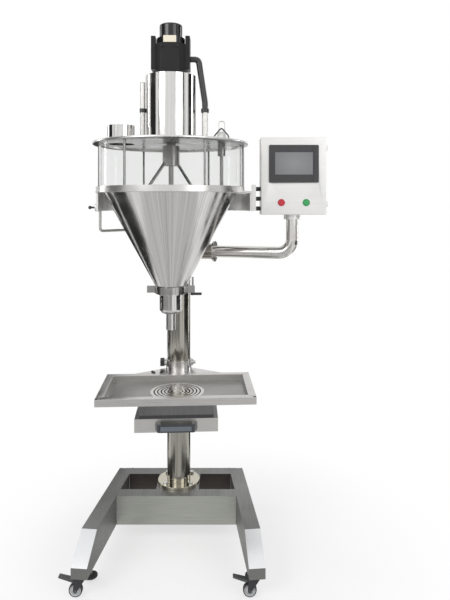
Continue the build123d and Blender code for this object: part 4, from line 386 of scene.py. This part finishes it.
# Moulded: name, colour, roughness, grain, spread of the colour, depth, coat, shine.
fork_black = moulded("fork_black", (0.02, 0.02, 0.022), 0.32, 500.0, 0.25, 0.15, 0.2)
pedal_grey = moulded("pedal_grey", (0.07, 0.072, 0.075), 0.42)
hose_rubber = moulded("hose_rubber", (0.03, 0.03, 0.031), 0.3, 300.0, 0.5, 0.3, 0.3)
tyre_rubber = moulded("tyre_rubber", (0.022, 0.022, 0.024), 0.62, 700.0)
rim_plastic = moulded("rim_plastic", (0.42, 0.43, 0.44), 0.42)
hub_white = moulded("hub_white", (0.82, 0.82, 0.82), 0.38)
black_plastic = moulded("black_plastic", (0.018, 0.018, 0.02), 0.38, 900.0, 0.25, 0.15, 0.2)
grip_plastic = moulded("grip_plastic", (0.018, 0.022, 0.028), 0.2, 600.0, 0.2, 0.1, 0.6)
motor_enamel = moulded("motor_enamel", (0.012, 0.012, 0.013), 0.36, 500.0, 0.22, 0.22, 0.04, 0.25)
encoder_enamel = moulded("encoder_enamel", (0.010, 0.010, 0.011), 0.2, 500.0, 0.2, 0.12, 0.35, 0.35)
screen_bezel = moulded("screen_bezel", (0.022, 0.022, 0.025), 0.24, 900.0, 0.2, 0.05, 0.5)
sensor_plastic = moulded("sensor_plastic", (0.72, 0.72, 0.70), 0.35)
plate_cream = moulded("plate_cream", (0.80, 0.74, 0.60), 0.45, 700.0, 0.08, 0.1)
# Lighter bluish plastic for the strip on the drawer handle: a painted highlight
grip_highlight = moulded("grip_highlight", (0.10, 0.115, 0.14), 0.16, 600.0, 0.15, 0.06, 0.8)
red_plastic = moulded("red_plastic", (0.55, 0.012, 0.03), 0.25, 900.0, 0.15, 0.06, 0.4)
green_plastic = moulded("green_plastic", (0.03, 0.34, 0.09), 0.25, 900.0, 0.15, 0.06, 0.4)


def make_window_finish():
    """Clear acrylic: plain transmission, with only its smears drawn."""
    finish, tree, surface, place = new_finish("window_acrylic")
    surface.inputs["Base Color"].default_value = (0.895, 0.9, 0.895, 1)
    surface.inputs["Transmission Weight"].default_value = 1.0
    surface.inputs["IOR"].default_value = 1.12
    marks = use_group(tree, handling_marks, place, Scale=4.0, Amount=0.06)
    tree.links.new(marks.outputs["Mask"], surface.inputs["Roughness"])
    return finish


GLOW_FALL_OFF = (8.0, 8.0, 11.0)


def make_display_finish():
    """A dark display behind glass, lighter in its middle as a painted glow."""
    finish, tree, surface, place = new_finish("display_glass")
    low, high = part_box("touch_screen")
    middle = centred_on(tree, place, ((low.x + high.x) / 2, low.y, (low.z + high.z) / 2))
    glow = shader_node(tree, "ShaderNodeTexGradient", gradient_type="SPHERICAL")
    spread = shader_node(tree, "ShaderNodeVectorMath", operation="MULTIPLY")
    spread.inputs[1].default_value = GLOW_FALL_OFF
    tree.links.new(middle, spread.inputs[0])
    tree.links.new(spread.outputs["Vector"], glow.inputs["Vector"])
    # Painted glow: the colour grows lighter towards the display's middle
    shade = shade_between(tree, glow.outputs["Fac"], (0.14, 0.143, 0.15), (0.24, 0.243, 0.25))
    tree.links.new(shade, surface.inputs["Base Color"])
    marks = use_group(tree, handling_marks, place, Scale=16.0, Amount=0.25)
    rough = value_between(tree, marks.outputs["Mask"], 0.16, 0.5)
    tree.links.new(rough, surface.inputs["Roughness"])
    surface.inputs["Coat Weight"].default_value = 0.5
    return finish


window_acrylic = make_window_finish()
display_glass = make_display_finish()


# ---- Pieces


CREASE_ANGLE = radians(38)


def sharpen(mesh_data):
    """Smooth faces, with a crease wherever two faces meet at more than the crease angle."""
    bm = bmesh.new()
    bm.from_mesh(mesh_data)
    for face in bm.faces:
        face.smooth = True
    for edge in bm.edges:
        edge.smooth = len(edge.link_faces) == 2 and edge.calc_face_angle(0) < CREASE_ANGLE
    bm.to_mesh(mesh_data)
    bm.free()


def place_piece(name, bm, finishes, body, stands_for=()):
    """Turns a bmesh into a finished piece that rides on a body."""
    mesh_data = bpy.data.meshes.new(name)
    bm.to_mesh(mesh_data)
    bm.free()
    for finish in finishes:
        mesh_data.materials.append(finish)
    sharpen(mesh_data)
    piece = bpy.data.objects.new(name, mesh_data)
    bpy.context.scene.collection.objects.link(piece)
    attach(piece, body)
    if stands_for:
        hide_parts(*stands_for)
    return piece


SAME_POINT = 0.00001
FLAT_WITHIN = radians(0.4)


def merged_copy(node, whole=True):
    """The node's mesh with its loose triangles joined and, where asked, its flat faces whole."""
    bm = bmesh.new()
    bm.from_mesh(frame["nodes"][node].data)
    bmesh.ops.remove_doubles(bm, verts=bm.verts, dist=SAME_POINT)
    if whole:
        bmesh.ops.dissolve_limit(
            bm, angle_limit=FLAT_WITHIN, verts=bm.verts, edges=bm.edges,
            use_dissolve_boundaries=False,
        )
    return bm


body_of_node = {
    node: body for body, nodes in frame["record"]["behaviour"]["bodies"].items() for node in nodes
}


def dress(node, finishes, edge=0.0006, choose=None, segments=2, whole=True):
    """A finished stand-in for a CAD node: the same shape with eased edges and its finishes."""
    bm = merged_copy(node, whole)
    if choose:
        for face in bm.faces:
            face.material_index = choose(face.calc_center_median(), face.normal)
    piece = place_piece(
        node + "_finished", bm, finishes, body_of_node[node], (node,)
    )
    if edge:
        bevel = piece.modifiers.new("eased_edges", "BEVEL")
        bevel.width = edge
        bevel.segments = segments
        bevel.limit_method = "ANGLE"
        bevel.angle_limit = CREASE_ANGLE
        bevel.harden_normals = True
        bevel.miter_outer = "MITER_ARC"
        bevel.use_clamp_overlap = True


# Lines in the CAD model where a finish changes. A chooser gets a face's centre and normal and
# returns the place of its finish in the node's list.
LEG_MIDDLE_X = 0.2675
LEG_HALF_WIDTH = 0.031
LEG_SPLAY = radians(6)
BAY_FRONT_Y, BAY_BACK_Y = -0.08, 0.075
LEG_FRONT_END_Y = -0.35
COLUMN_FLANGE_TOP_Z = 0.2165
CONE_TOP_Z = 1.4688
SENSOR_SEAT_Z = 1.6668
LID_SHEET_Z = 1.668
FOOT_PAD_TOP_Z = 0.026
COLLAR_LOW_Z, COLLAR_HIGH_Z = 1.7899, 1.8061
TRAY_RIM_DEPTH = 0.003
# How far a face's normal rises when the face looks up, and on the legs' slanted front ends
LOOKS_UP = 0.5
SLANT_FROM, SLANT_TO = 0.15, 0.97


def leg_or_beam(centre, normal):
    """Legs are ground along their length, the cross beams across; the front ends are bright.

    The bay between the beams is dark, painted shade; the bright front ends are a painted highlight.
    """
    back = centre.y - column_y
    leg_inside_x = LEG_MIDDLE_X - back * tan(LEG_SPLAY) - LEG_HALF_WIDTH
    if abs(centre.x - column_x) < leg_inside_x:
        if normal.z > LOOKS_UP:
            return 0
        return 3 if BAY_FRONT_Y < back < BAY_BACK_Y else 1
    front_end = centre.y < column_y + LEG_FRONT_END_Y and SLANT_FROM < normal.z < SLANT_TO
    return 2 if front_end else 0


def flange_or_tube(centre, normal):
    return int(centre.z < COLUMN_FLANGE_TOP_Z)


def cone_or_ring(centre, normal):
    return int(centre.z > CONE_TOP_Z)


def sensor_part(centre, normal):
    """The steel rod below the lid and the pale plug above it."""
    return int(centre.z > SENSOR_SEAT_Z)


def lid_part(centre, normal):
    """Plate edge and top, inlet tube, and the underside, darker as painted shade."""
    if centre.z > LID_SHEET_Z:
        return 1
    return 2 if normal.z < -LOOKS_UP else 0


tray_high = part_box("table_tray")[1]


def in_recess(centre, normal):
    """The tray's sunk floor, darker than its rim as painted shade."""
    return int(centre.z < tray_high.z - TRAY_RIM_DEPTH and normal.z > LOOKS_UP)


bezel_low, bezel_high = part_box("button_bezels")


def ring_colour(centre, normal):
    """The ring's front takes its button's colour; its rim stays bright."""
    if normal.y > -0.5:
        return 0
    return 1 if centre.x < (bezel_low.x + bezel_high.x) / 2 else 2


def pad_or_stud(centre, normal):
    return int(centre.z < FOOT_PAD_TOP_Z)


def post_or_collar(centre, normal):
    return int(COLLAR_LOW_Z < centre.z < COLLAR_HIGH_Z)


CORNERS = ("front_left", "front_right", "rear_left", "rear_right")

# The number is the width of the eased edges; 0 leaves the edges sharp
dress("base_frame", [frame_steel, beam_steel, end_highlight_steel, bay_shade_steel], 0, leg_or_beam, whole=False)
dress("column", [column_steel, flange_steel], 0.0006, flange_or_tube)
dress("frame_fasteners", [plain_steel], 0.0005)
for corner in CORNERS:
    dress(f"caster_fork_{corner}", [fork_black], 0.0004)
    dress(f"brake_pedal_{corner}", [pedal_grey], 0.0008)
    dress(f"levelling_foot_{corner}", [plain_steel, tyre_rubber], 0.0005, pad_or_stud)
dress("table_bracket", [cover_steel], 0.0006)
dress("table_tray", [tray_steel, recess_shade_steel], 0.001, in_recess)
dress("strainer_disc", [strainer_steel], 0)
dress("catch_box", [chute_steel], 0.0005)
dress("drawer", [drawer_steel], 0, whole=False)
dress("drawer_handle", [grip_plastic], 0.002, segments=3)
for knob in ("table_clamp_knob", "carriage_clamp_knob"):
    dress(knob, [black_plastic], 0.001)
dress("hopper_cone", [cone_steel, ring_steel], 0.0008, cone_or_ring)
dress("hopper_window", [window_acrylic], 0)
dress("window_posts", [post_steel], 0)
dress("hopper_lid", [lid_steel, mirror_steel, lid_underside_shade_steel], 0.0008, lid_part)
dress("level_sensor", [stirrer_steel, sensor_plastic], 0.0006, sensor_part)
dress("tri_clamp", [clamp_steel], 0.0008)
dress("clamp_lever", [black_plastic], 0.0008)
dress("nozzle_housing", [mirror_steel], 0.0006)
dress("filling_nozzle", [mirror_steel], 0.0003)
dress("auger", [plain_steel], 0.0002)
dress("drive_shaft", [stirrer_steel], 0.0004)
dress("motor_coupling", [plain_steel], 0.0004)
dress("stirrer", [stirrer_steel], 0.0006)
dress("stirrer_gear", [plain_steel], 0)
dress("motor_pinion", [plain_steel], 0)
dress("stirrer_drive_mount", [plain_steel], 0.0005)
dress("drive_housing", [mirror_steel], 0.0008)
dress("servo_motor", [motor_enamel], 0.0012)
dress("motor_encoder", [encoder_enamel], 0.001)
dress("motor_conduit", [black_plastic], 0)
dress("side_posts", [plain_steel, black_plastic], 0.0005, post_or_collar)
dress("lift_carriage", [mast_steel], 0.001)
dress("hopper_yoke", [yoke_steel], 0.0008)
dress("latch_pin", [black_plastic], 0)
dress("brace_rod", [plain_steel], 0)
dress("control_arm", [arm_steel], 0.0004)
dress("control_box", [box_steel], 0.0008)
dress("box_door", [box_steel], 0.0005)
dress("touch_screen", [screen_bezel], 0.0006)
dress("button_bezels", [chrome, red_plastic, green_plastic], 0.0006, ring_colour)
dress("start_button", [red_plastic], 0.0008)
dress("stop_button", [green_plastic], 0.0008)
dress("cable_glands", [black_plastic], 0.0008)


# ---- Caster wheels: tyre, rim disc and hub cap in one turned piece


WHEEL_STEPS = 96
WHEEL_SAME_POINT = 0.000002
TYRE_INSIDE_RADIUS = 0.0195
HUB_RADIUS = 0.011


def turn_round(profile, centre, axis):
    """A closed ring or solid, spun from a closed outline of (radius, along) points."""
    bm = bmesh.new()
    across = Vector((0, 0, 1)) if abs(axis.z) < 0.5 else Vector((1, 0, 0))
    corners = [bm.verts.new(centre + across * r + axis * along) for r, along in profile]
    loop = [bm.edges.new((a, b)) for a, b in zip(corners, corners[1:] + corners[:1])]
    bmesh.ops.spin(
        bm, geom=corners + loop, cent=centre, axis=axis, angle=2 * pi, steps=WHEEL_STEPS,
        use_merge=True,
    )
    bmesh.ops.remove_doubles(bm, verts=bm.verts, dist=WHEEL_SAME_POINT)
    bmesh.ops.recalc_face_normals(bm, faces=bm.faces)
    return bm


for corner in CORNERS:
    low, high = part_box(f"caster_wheel_{corner}")
    middle = (low + high) / 2
    tyre_r = (high.z - low.z) / 2
    half = (high.y - low.y) / 2
    # From the axle hole out to the tread: radius, and share of the wheel's half width
    side = [
        (0.00405, 0.98),
        (0.0085, 0.98),
        (0.0095, 0.8),
        (0.0155, 0.62),
        (0.0175, 0.85),
        (0.0205, 0.92),
        (tyre_r - 0.0022, 1.0),
        (tyre_r - 0.0007, 0.82),
        (tyre_r, 0.5),
    ]
    outline = [(r, -half * share) for r, share in side]
    outline += [(r, half * share) for r, share in reversed(side)]
    bm = turn_round(outline, middle, Vector((0, 1, 0)))
    for face in bm.faces:
        centre = face.calc_center_median()
        radius = ((centre.x - middle.x) ** 2 + (centre.z - middle.z) ** 2) ** 0.5
        face.material_index = int(radius <= TYRE_INSIDE_RADIUS) + int(radius <= HUB_RADIUS)
    place_piece(
        f"wheel_{corner}_finished", bm, [tyre_rubber, rim_plastic, hub_white],
        f"wheel_{corner}", (f"caster_wheel_{corner}",),
    )


# ---- Small parts made from rounds, bars and bent rod


def bar(bm, size, place, turn=0.0):
    """Adds a block to the mesh, turned about the upright and centred on a place."""
    made = bmesh.ops.create_cube(bm, size=1.0)["verts"]
    bmesh.ops.scale(bm, vec=size, verts=made)
    bmesh.ops.rotate(bm, cent=(0, 0, 0), matrix=Matrix.Rotation(turn, 3, "Z"), verts=made)
    bmesh.ops.translate(bm, vec=place, verts=made)


def round_bar(bm, radius, length, place, along=(0, 0, 1), sides=24):
    """Adds a round or a hexagon of a length, centred on a place."""
    made = bmesh.ops.create_cone(
        bm, cap_ends=True, segments=sides, radius1=radius, radius2=radius, depth=length
    )["verts"]
    spin = Vector((0, 0, 1)).rotation_difference(Vector(along)).to_matrix()
    bmesh.ops.rotate(bm, cent=(0, 0, 0), matrix=spin, verts=made)
    bmesh.ops.translate(bm, vec=place, verts=made)


CORNER_PARTS = 8
ROD_STEP = 0.0015


def rounded_path(points, radius, step):
    """Places and directions every step along a path whose corners are rounded."""
    line = [Vector(points[0])]
    for before, corner, after in zip(points, points[1:], points[2:]):
        corner = Vector(corner)
        toward = (Vector(before) - corner).normalized()
        onward = (Vector(after) - corner).normalized()
        half = toward.angle(onward) / 2
        reach = radius / tan(half)
        start, finish = corner + toward * reach, corner + onward * reach
        for part in range(CORNER_PARTS + 1):
            t = part / CORNER_PARTS
            line.append(start * (1 - t) ** 2 + corner * 2 * t * (1 - t) + finish * t ** 2)
    line.append(Vector(points[-1]))
    stations, carried = [], 0.0
    for a, b in zip(line, line[1:]):
        length = (b - a).length
        while carried <= length:
            stations.append((a.lerp(b, carried / length), (b - a).normalized()))
            carried += step
        carried -= length
    return stations


def bent_rod(points, thickness, corner_radius):
    """A round rod along a rounded path, as a mesh."""
    curve = bpy.data.curves.new("rod_line", "CURVE")
    curve.dimensions = "3D"
    curve.bevel_depth = thickness
    curve.bevel_resolution = 4
    curve.use_fill_caps = True
    stations = rounded_path(points, corner_radius, ROD_STEP)
    run = curve.splines.new("POLY")
    run.points.add(len(stations) - 1)
    for point, (place, _) in zip(run.points, stations):
        point.co = (*place, 1)
    holder = bpy.data.objects.new("rod_line", curve)
    bm = bmesh.new()
    bm.from_mesh(holder.to_mesh())
    bpy.data.objects.remove(holder)
    return bm


# Screen: the display pane on the bezel's front
PANE_SIZE = (0.154, 0.0012, 0.091)
PANE_PROUD = 0.0002
PANE_RAISED = 0.001
low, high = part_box("touch_screen")
bm = bmesh.new()
bar(bm, PANE_SIZE, ((low.x + high.x) / 2, low.y - PANE_PROUD, (low.z + high.z) / 2 + PANE_RAISED))
place_piece("display_pane", bm, [display_glass], "door", ())

# Ribs of the corrugated conduit, along the hose's own line
HOSE_RADIUS = 0.011
HOSE_CORNER_RADIUS = 0.017
HOSE_CORNER_X = 0.110
HOSE_SLANT_FOOT = 0.024
RIB_RADIUS, RIB_WIDTH, RIB_PITCH = 0.0124, 0.0026, 0.0052
block_low, block_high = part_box("servo_motor")
hose_low, hose_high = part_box("motor_conduit")
hose_top = hose_high.z - HOSE_RADIUS
hose_x = hose_high.x - HOSE_RADIUS
hose_points = [
    (block_high.x, hopper_y, hose_top),
    (hopper_x + HOSE_CORNER_X, hopper_y, hose_top),
    (hose_x, hopper_y, hose_low.z + HOSE_SLANT_FOOT),
    (hose_x, hopper_y, hose_low.z),
]
bm = bmesh.new()
for place, way in rounded_path(hose_points, HOSE_CORNER_RADIUS, RIB_PITCH)[1:-1]:
    round_bar(bm, RIB_RADIUS, RIB_WIDTH, place, way, 28)
place_piece("conduit_ribs", bm, [hose_rubber], "head", ())

# Motor: bare cream plate on the encoder's foot, and screws in the motor's corners
PLATE_SIZE = (0.050, 0.0008, 0.026)
PLATE_PROUD, PLATE_HEIGHT = 0.0003, 0.0145
SCREW_RADIUS, SCREW_LENGTH, SCREW_PROUD = 0.0042, 0.003, 0.0005
SCREW_X = 0.032
SCREW_HEIGHTS = (0.012, 0.108)
foot_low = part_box("motor_encoder")[0]
bm = bmesh.new()
bar(bm, PLATE_SIZE, (hopper_x, foot_low.y - PLATE_PROUD, foot_low.z + PLATE_HEIGHT))
place_piece("motor_plate", bm, [plate_cream], "head", ())
bm = bmesh.new()
for side in (-1, 1):
    for height in SCREW_HEIGHTS:
        screw = (hopper_x + side * SCREW_X, block_low.y - SCREW_PROUD, block_low.z + height)
        round_bar(bm, SCREW_RADIUS, SCREW_LENGTH, screw, (0, -1, 0), 20)
place_piece("motor_screws", bm, [encoder_enamel], "head", ())

# Level sensor: its wire arch and its loop, by points in front of the plug at the lid's top
WIRE_LINE = (
    (-0.036, 0, 0.004), (-0.026, 0, 0.030), (0, 0, 0.060), (0.026, 0, 0.030), (0.034, 0, 0.004)
)
LOOP_LINE = (
    (-0.012, 0.02, 0.040), (-0.010, 0.02, 0.088), (0.012, 0.02, 0.088), (0.014, 0.02, 0.040)
)
WIRE_THICKNESS, WIRE_CORNER = 0.0028, 0.008
LOOP_THICKNESS, LOOP_CORNER = 0.0022, 0.009
SENSOR_FRONT = 0.024
plug_low, plug_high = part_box("level_sensor")
lid_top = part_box("drive_housing")[0].z
front = Vector(
    ((plug_low.x + plug_high.x) / 2, (plug_low.y + plug_high.y) / 2 - SENSOR_FRONT, lid_top)
)
wire = bent_rod([front + Vector(p) for p in WIRE_LINE], WIRE_THICKNESS, WIRE_CORNER)
loop = bent_rod([front + Vector(p) for p in LOOP_LINE], LOOP_THICKNESS, LOOP_CORNER)
place_piece("sensor_loop", loop, [plain_steel], "head", ())
place_piece("sensor_wire", wire, [black_plastic], "head", ())

# Table: black bolts with washers on the folded cover, the mitres of the tray's rim, and black
# squares at the rim's front corners, painted shade in the gaps there
TABLE_TURN = radians(3)
COVER_BOLTS = ((-0.112, -0.060), (-0.104, -0.073), (-0.074, -0.073))
BOLT_RADIUS, BOLT_HEIGHT = 0.0052, 0.005
WASHER_RADIUS, WASHER_HEIGHT = 0.0068, 0.0012
TRAY_MIDDLE_Y = -0.248
TRAY_HALF_WIDTH, TRAY_HALF_DEPTH = 0.3015, 0.165
RIM_HALF_WIDTH = 0.015
MITRE_SIZE = (0.042, 0.0009, 0.0004)
CORNER_SHADE_SIZE = (0.0105, 0.0105, 0.0018)
CORNER_SHADE_INSET, CORNER_SHADE_RAISED = 0.006, 0.0006


def on_table(x, y, z):
    """A place given from the column's axis in the turned table's own directions."""
    return Vector((
        column_x + x * cos(TABLE_TURN) - y * sin(TABLE_TURN),
        column_y + x * sin(TABLE_TURN) + y * cos(TABLE_TURN),
        z,
    ))


bm = bmesh.new()
for x, y in COVER_BOLTS:
    bolt = on_table(x, y, tray_high.z + BOLT_HEIGHT / 2)
    round_bar(bm, BOLT_RADIUS, BOLT_HEIGHT, bolt, (0, 0, 1), 6)
    washer = on_table(x, y, tray_high.z + WASHER_HEIGHT / 2)
    round_bar(bm, WASHER_RADIUS, WASHER_HEIGHT, washer)
place_piece("cover_bolts", bm, [black_plastic], "table", ())
mitre_x = TRAY_HALF_WIDTH - RIM_HALF_WIDTH
mitre_y = TRAY_HALF_DEPTH - RIM_HALF_WIDTH
bm = bmesh.new()
for side in (-1, 1):
    for end in (-1, 1):
        spot = on_table(side * mitre_x, TRAY_MIDDLE_Y + end * mitre_y, tray_high.z)
        bar(bm, MITRE_SIZE, spot, TABLE_TURN + side * end * pi / 4)
# Black squares at the rim's front corners: painted shade in the gaps there
corner_shade_marks = bmesh.new()
corner_shade_x = TRAY_HALF_WIDTH - CORNER_SHADE_INSET
corner_shade_y = TRAY_MIDDLE_Y - (TRAY_HALF_DEPTH - CORNER_SHADE_INSET)
for side in (-1, 1):
    bar(corner_shade_marks, CORNER_SHADE_SIZE, on_table(side * corner_shade_x, corner_shade_y, tray_high.z + CORNER_SHADE_RAISED), TABLE_TURN)
place_piece("tray_corner_shade_marks", corner_shade_marks, [black_plastic], "table", ())
place_piece("tray_mitres", bm, [stirrer_steel], "table", ())

# Drawer handle: a lighter glossy strip on the black grip's front, a painted highlight
GRIP_HIGHLIGHT_SIZE = (0.116, 0.0012, 0.017)
GRIP_HIGHLIGHT_Y = -0.4122
grip_low, grip_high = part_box("drawer_handle")
bm = bmesh.new()
bar(bm, GRIP_HIGHLIGHT_SIZE, on_table(0, GRIP_HIGHLIGHT_Y, (grip_low.z + grip_high.z) / 2), TABLE_TURN)
place_piece("handle_highlight", bm, [grip_highlight], "drawer_unit", ())

# Weld beads where the cross beams meet the legs
BEAD_RADIUS, BEAD_LENGTH, BEAD_Z = 0.0024, 0.116, 0.142
BEAM_YS = (-0.105, 0.098)
BEAM_HALF_DEPTH = 0.032
LEG_FACE_AT_BEAD = 0.0302
bm = bmesh.new()
for side in (-1, 1):
    for beam_y in BEAM_YS:
        for face in (-1, 1):
            y = beam_y + face * BEAM_HALF_DEPTH
            x = column_x + side * (LEG_MIDDLE_X - y * tan(LEG_SPLAY) - LEG_FACE_AT_BEAD)
            round_bar(bm, BEAD_RADIUS, BEAD_LENGTH, (x, column_y + y, BEAD_Z), (0, 0, 1), 12)
place_piece("weld_beads", bm, [stirrer_steel], "stand", ())

# Casters: axle nuts beside the wheels
NUT_RADIUS, NUT_HEIGHT, NUT_GAP = 0.0048, 0.004, 0.0042
for corner in CORNERS:
    low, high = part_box(f"caster_wheel_{corner}")
    middle = (low + high) / 2
    bm = bmesh.new()
    for face in (-1, 1):
        nut_y = middle.y + face * ((high.y - low.y) / 2 + NUT_GAP)
        round_bar(bm, NUT_RADIUS, NUT_HEIGHT, (middle.x, nut_y, middle.z), (0, face, 0), 6)
    place_piece(f"axle_nuts_{corner}", bm, [chrome], f"caster_{corner}", ())


# ---- Floor, light and camera


def stage_plane(name, size, place, turn, finish):
    bm = bmesh.new()
    bmesh.ops.create_grid(bm, x_segments=1, y_segments=1, size=0.5)
    bmesh.ops.scale(bm, vec=(size[0], size[1], 1), verts=bm.verts)
    mesh_data = bpy.data.meshes.new(name)
    bm.to_mesh(mesh_data)
    bm.free()
    mesh_data.materials.append(finish)
    plane = bpy.data.objects.new(name, mesh_data)
    plane.location = place
    plane.rotation_euler = turn
    bpy.context.scene.collection.objects.link(plane)
    plane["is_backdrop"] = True
    return plane


def seen_directly(tree):
    """1 for camera, glossy and transmitted rays, 0 for the light that falls on things."""
    rays = shader_node(tree, "ShaderNodeLightPath").outputs
    seen = maths(tree, "MAXIMUM", rays["Is Camera Ray"], rays["Is Glossy Ray"])
    return maths(tree, "MAXIMUM", seen, rays["Is Transmission Ray"])


WHITE_AT_OBJECT = 0.62
WHITE_START, WHITE_END = 0.45, 1.15


def make_floor_finish():
    """Pale floor that keeps the shadow near the object and runs out into white."""
    finish, tree, surface, place = new_finish("studio_floor")
    surface.inputs["Base Color"].default_value = (0.93, 0.93, 0.93, 1)
    surface.inputs["Roughness"].default_value = 0.9
    surface.inputs["Specular IOR Level"].default_value = 0.0
    white = shader_node(tree, "ShaderNodeEmission")
    reach = shader_node(tree, "ShaderNodeVectorMath", operation="LENGTH")
    tree.links.new(place, reach.inputs[0])
    far = value_between(
        tree, reach.outputs["Value"], WHITE_AT_OBJECT, 1.0, WHITE_START, WHITE_END, "SMOOTHSTEP"
    )
    mix = shader_node(tree, "ShaderNodeMixShader")
    tree.links.new(maths(tree, "MULTIPLY", far, seen_directly(tree)), mix.inputs["Fac"])
    tree.links.new(surface.outputs[0], mix.inputs[1])
    tree.links.new(white.outputs[0], mix.inputs[2])
    tree.links.new(mix.outputs[0], tree.nodes["Material Output"].inputs["Surface"])
    return finish


def make_card_finish(name, level):
    finish, tree, _, _ = new_finish(name)
    glow = shader_node(tree, "ShaderNodeEmission")
    glow.inputs["Color"].default_value = (level, level, level, 1)
    tree.links.new(glow.outputs[0], tree.nodes["Material Output"].inputs["Surface"])
    return finish


LYING = (0, 0, 0)
FLOOR_SIZE = (40, 40)
stage_plane("floor", FLOOR_SIZE, (0, 0, 0), LYING, make_floor_finish())

# Studio cards that only reflections show, standing round the object and lying on the floor
dark_card = make_card_finish("dark_card", 0.03)
brown_card = make_card_finish("brown_card", 0.2)
grey_card = make_card_finish("grey_card", 0.34)
mid_card = make_card_finish("mid_card", 0.7)


def only_reflected(card):
    card.visible_camera = False
    card.visible_diffuse = False
    card.visible_shadow = False
    card.visible_transmission = False


def from_hopper(azimuth, distance, height):
    """A place round the hopper's axis, at an angle from the camera's side."""
    turn = radians(azimuth)
    return Vector((hopper_x + distance * sin(turn), hopper_y - distance * cos(turn), height))


def studio_card(name, azimuth, width, finish, distance=4.2, height=5.0):
    """An upright card that stands on the floor and faces the object."""
    place = from_hopper(azimuth, distance, height / 2)
    facing = (pi / 2, 0, radians(azimuth))
    only_reflected(stage_plane(name, (width, height), place, facing, finish))


OVER_FLOOR = 0.0005


def floor_card(name, x_from, x_to, y_from, y_to, finish):
    """A card that lies just over the floor, given by its edges from the hopper's axis."""
    place = (hopper_x + (x_from + x_to) / 2, hopper_y + (y_from + y_to) / 2, OVER_FLOOR)
    only_reflected(stage_plane(name, (x_to - x_from, y_to - y_from), place, LYING, finish))


for name, azimuth, width, finish in (
    ("card_right", 104, 2.2, dark_card),
    ("card_right_mid", 64, 0.5, dark_card),
    ("card_right_near", 38, 0.2, dark_card),
    ("card_right_far", 150, 0.9, dark_card),
    ("card_left", -84, 2.6, dark_card),
    ("card_left_brown", -124, 2.0, brown_card),
    ("card_left_near", -50, 0.36, dark_card),
    ("card_left_far", -160, 1.0, dark_card),
    ("card_front_left", -20, 0.07, grey_card),
    ("card_front_right", 19, 0.05, grey_card),
):
    studio_card(name, azimuth, width, finish)
for name, x_from, x_to, y_from, y_to, finish in (
    ("floor_front", -1.3, 1.3, -3.0, 0.1, mid_card),
    ("floor_front_line", -0.20, -0.12, -3.0, 0.0, grey_card),
    ("floor_left_near", -3.0, -1.38, -0.2, 1.65, dark_card),
    ("floor_left_far", -3.0, -1.7, 2.1, 5.5, dark_card),
    ("floor_right_line", 1.66, 3.0, 0.25, 0.55, dark_card),
    ("floor_right_far", 1.66, 3.0, 1.1, 4.6, dark_card),
    ("floor_back_left", -1.2, -0.2, 0.7, 1.7, dark_card),
    ("floor_back_right", 0.3, 1.2, 0.8, 1.7, dark_card),
    ("floor_side_right", 0.75, 0.95, -0.5, 0.2, dark_card),
):
    floor_card(name, x_from, x_to, y_from, y_to, finish)
LOW_CARD_WIDTH, LOW_CARD_DISTANCE, LOW_CARD_HEIGHT = 1.75, 3.3, 0.75
for azimuth, finish in (
    (-64, grey_card), (-32, grey_card), (0, grey_card), (76, dark_card),
    (104, dark_card), (-104, dark_card), (-136, dark_card), (-160, dark_card),
):
    studio_card(
        f"low_card_{azimuth}", azimuth, LOW_CARD_WIDTH, finish, LOW_CARD_DISTANCE, LOW_CARD_HEIGHT
    )


AIM_Z = 1.1


def soft_light(name, azimuth, distance, height, size, power):
    """A rectangular lamp that looks at the middle of the object."""
    place = from_hopper(azimuth, distance, height)
    lamp = bpy.data.lights.new(name, "AREA")
    lamp.shape = "RECTANGLE"
    lamp.size, lamp.size_y = size
    lamp.energy = power
    holder = bpy.data.objects.new(name, lamp)
    holder.location = place
    aim = Vector((hopper_x, hopper_y, AIM_Z)) - place
    holder.rotation_euler = aim.to_track_quat("-Z", "Y").to_euler()
    bpy.context.scene.collection.objects.link(holder)


soft_light("key", -38, 4.0, 3.4, (2.2, 2.2), 70)
soft_light("fill", 42, 4.2, 2.6, (2.0, 2.6), 40)
soft_light("strip_right", 117, 3.4, 1.6, (0.35, 3.2), 22)
soft_light("strip_left", -117, 3.4, 1.6, (0.35, 3.2), 22)

world = bpy.data.worlds.new("studio")
bpy.context.scene.world = world
world.use_nodes = True
sky = world.node_tree
background = sky.nodes["Background"]
background.inputs["Color"].default_value = (1, 1, 1, 1)
WORLD_LIGHT, WORLD_SEEN = 0.62, 1.0
strength = value_between(sky, seen_directly(sky), WORLD_LIGHT, WORLD_SEEN)
sky.links.new(strength, background.inputs["Strength"])

CAMERA_FROM_COLUMN = Vector((0.204, -2.597, 1.425))
CAMERA_LENS, CAMERA_SENSOR, CAMERA_SHIFT = 35.22, 36, -0.16
camera = bpy.data.cameras.new("camera")
camera.lens = CAMERA_LENS
camera.sensor_width = CAMERA_SENSOR
camera.shift_y = CAMERA_SHIFT
viewer = bpy.data.objects.new("camera", camera)
viewer.location = column_axis + CAMERA_FROM_COLUMN
viewer.rotation_euler = (pi / 2, 0, 0)
bpy.context.scene.collection.objects.link(viewer)
bpy.context.scene.camera = viewer
bpy.context.scene.view_settings.view_transform = "Standard"

low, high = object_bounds()
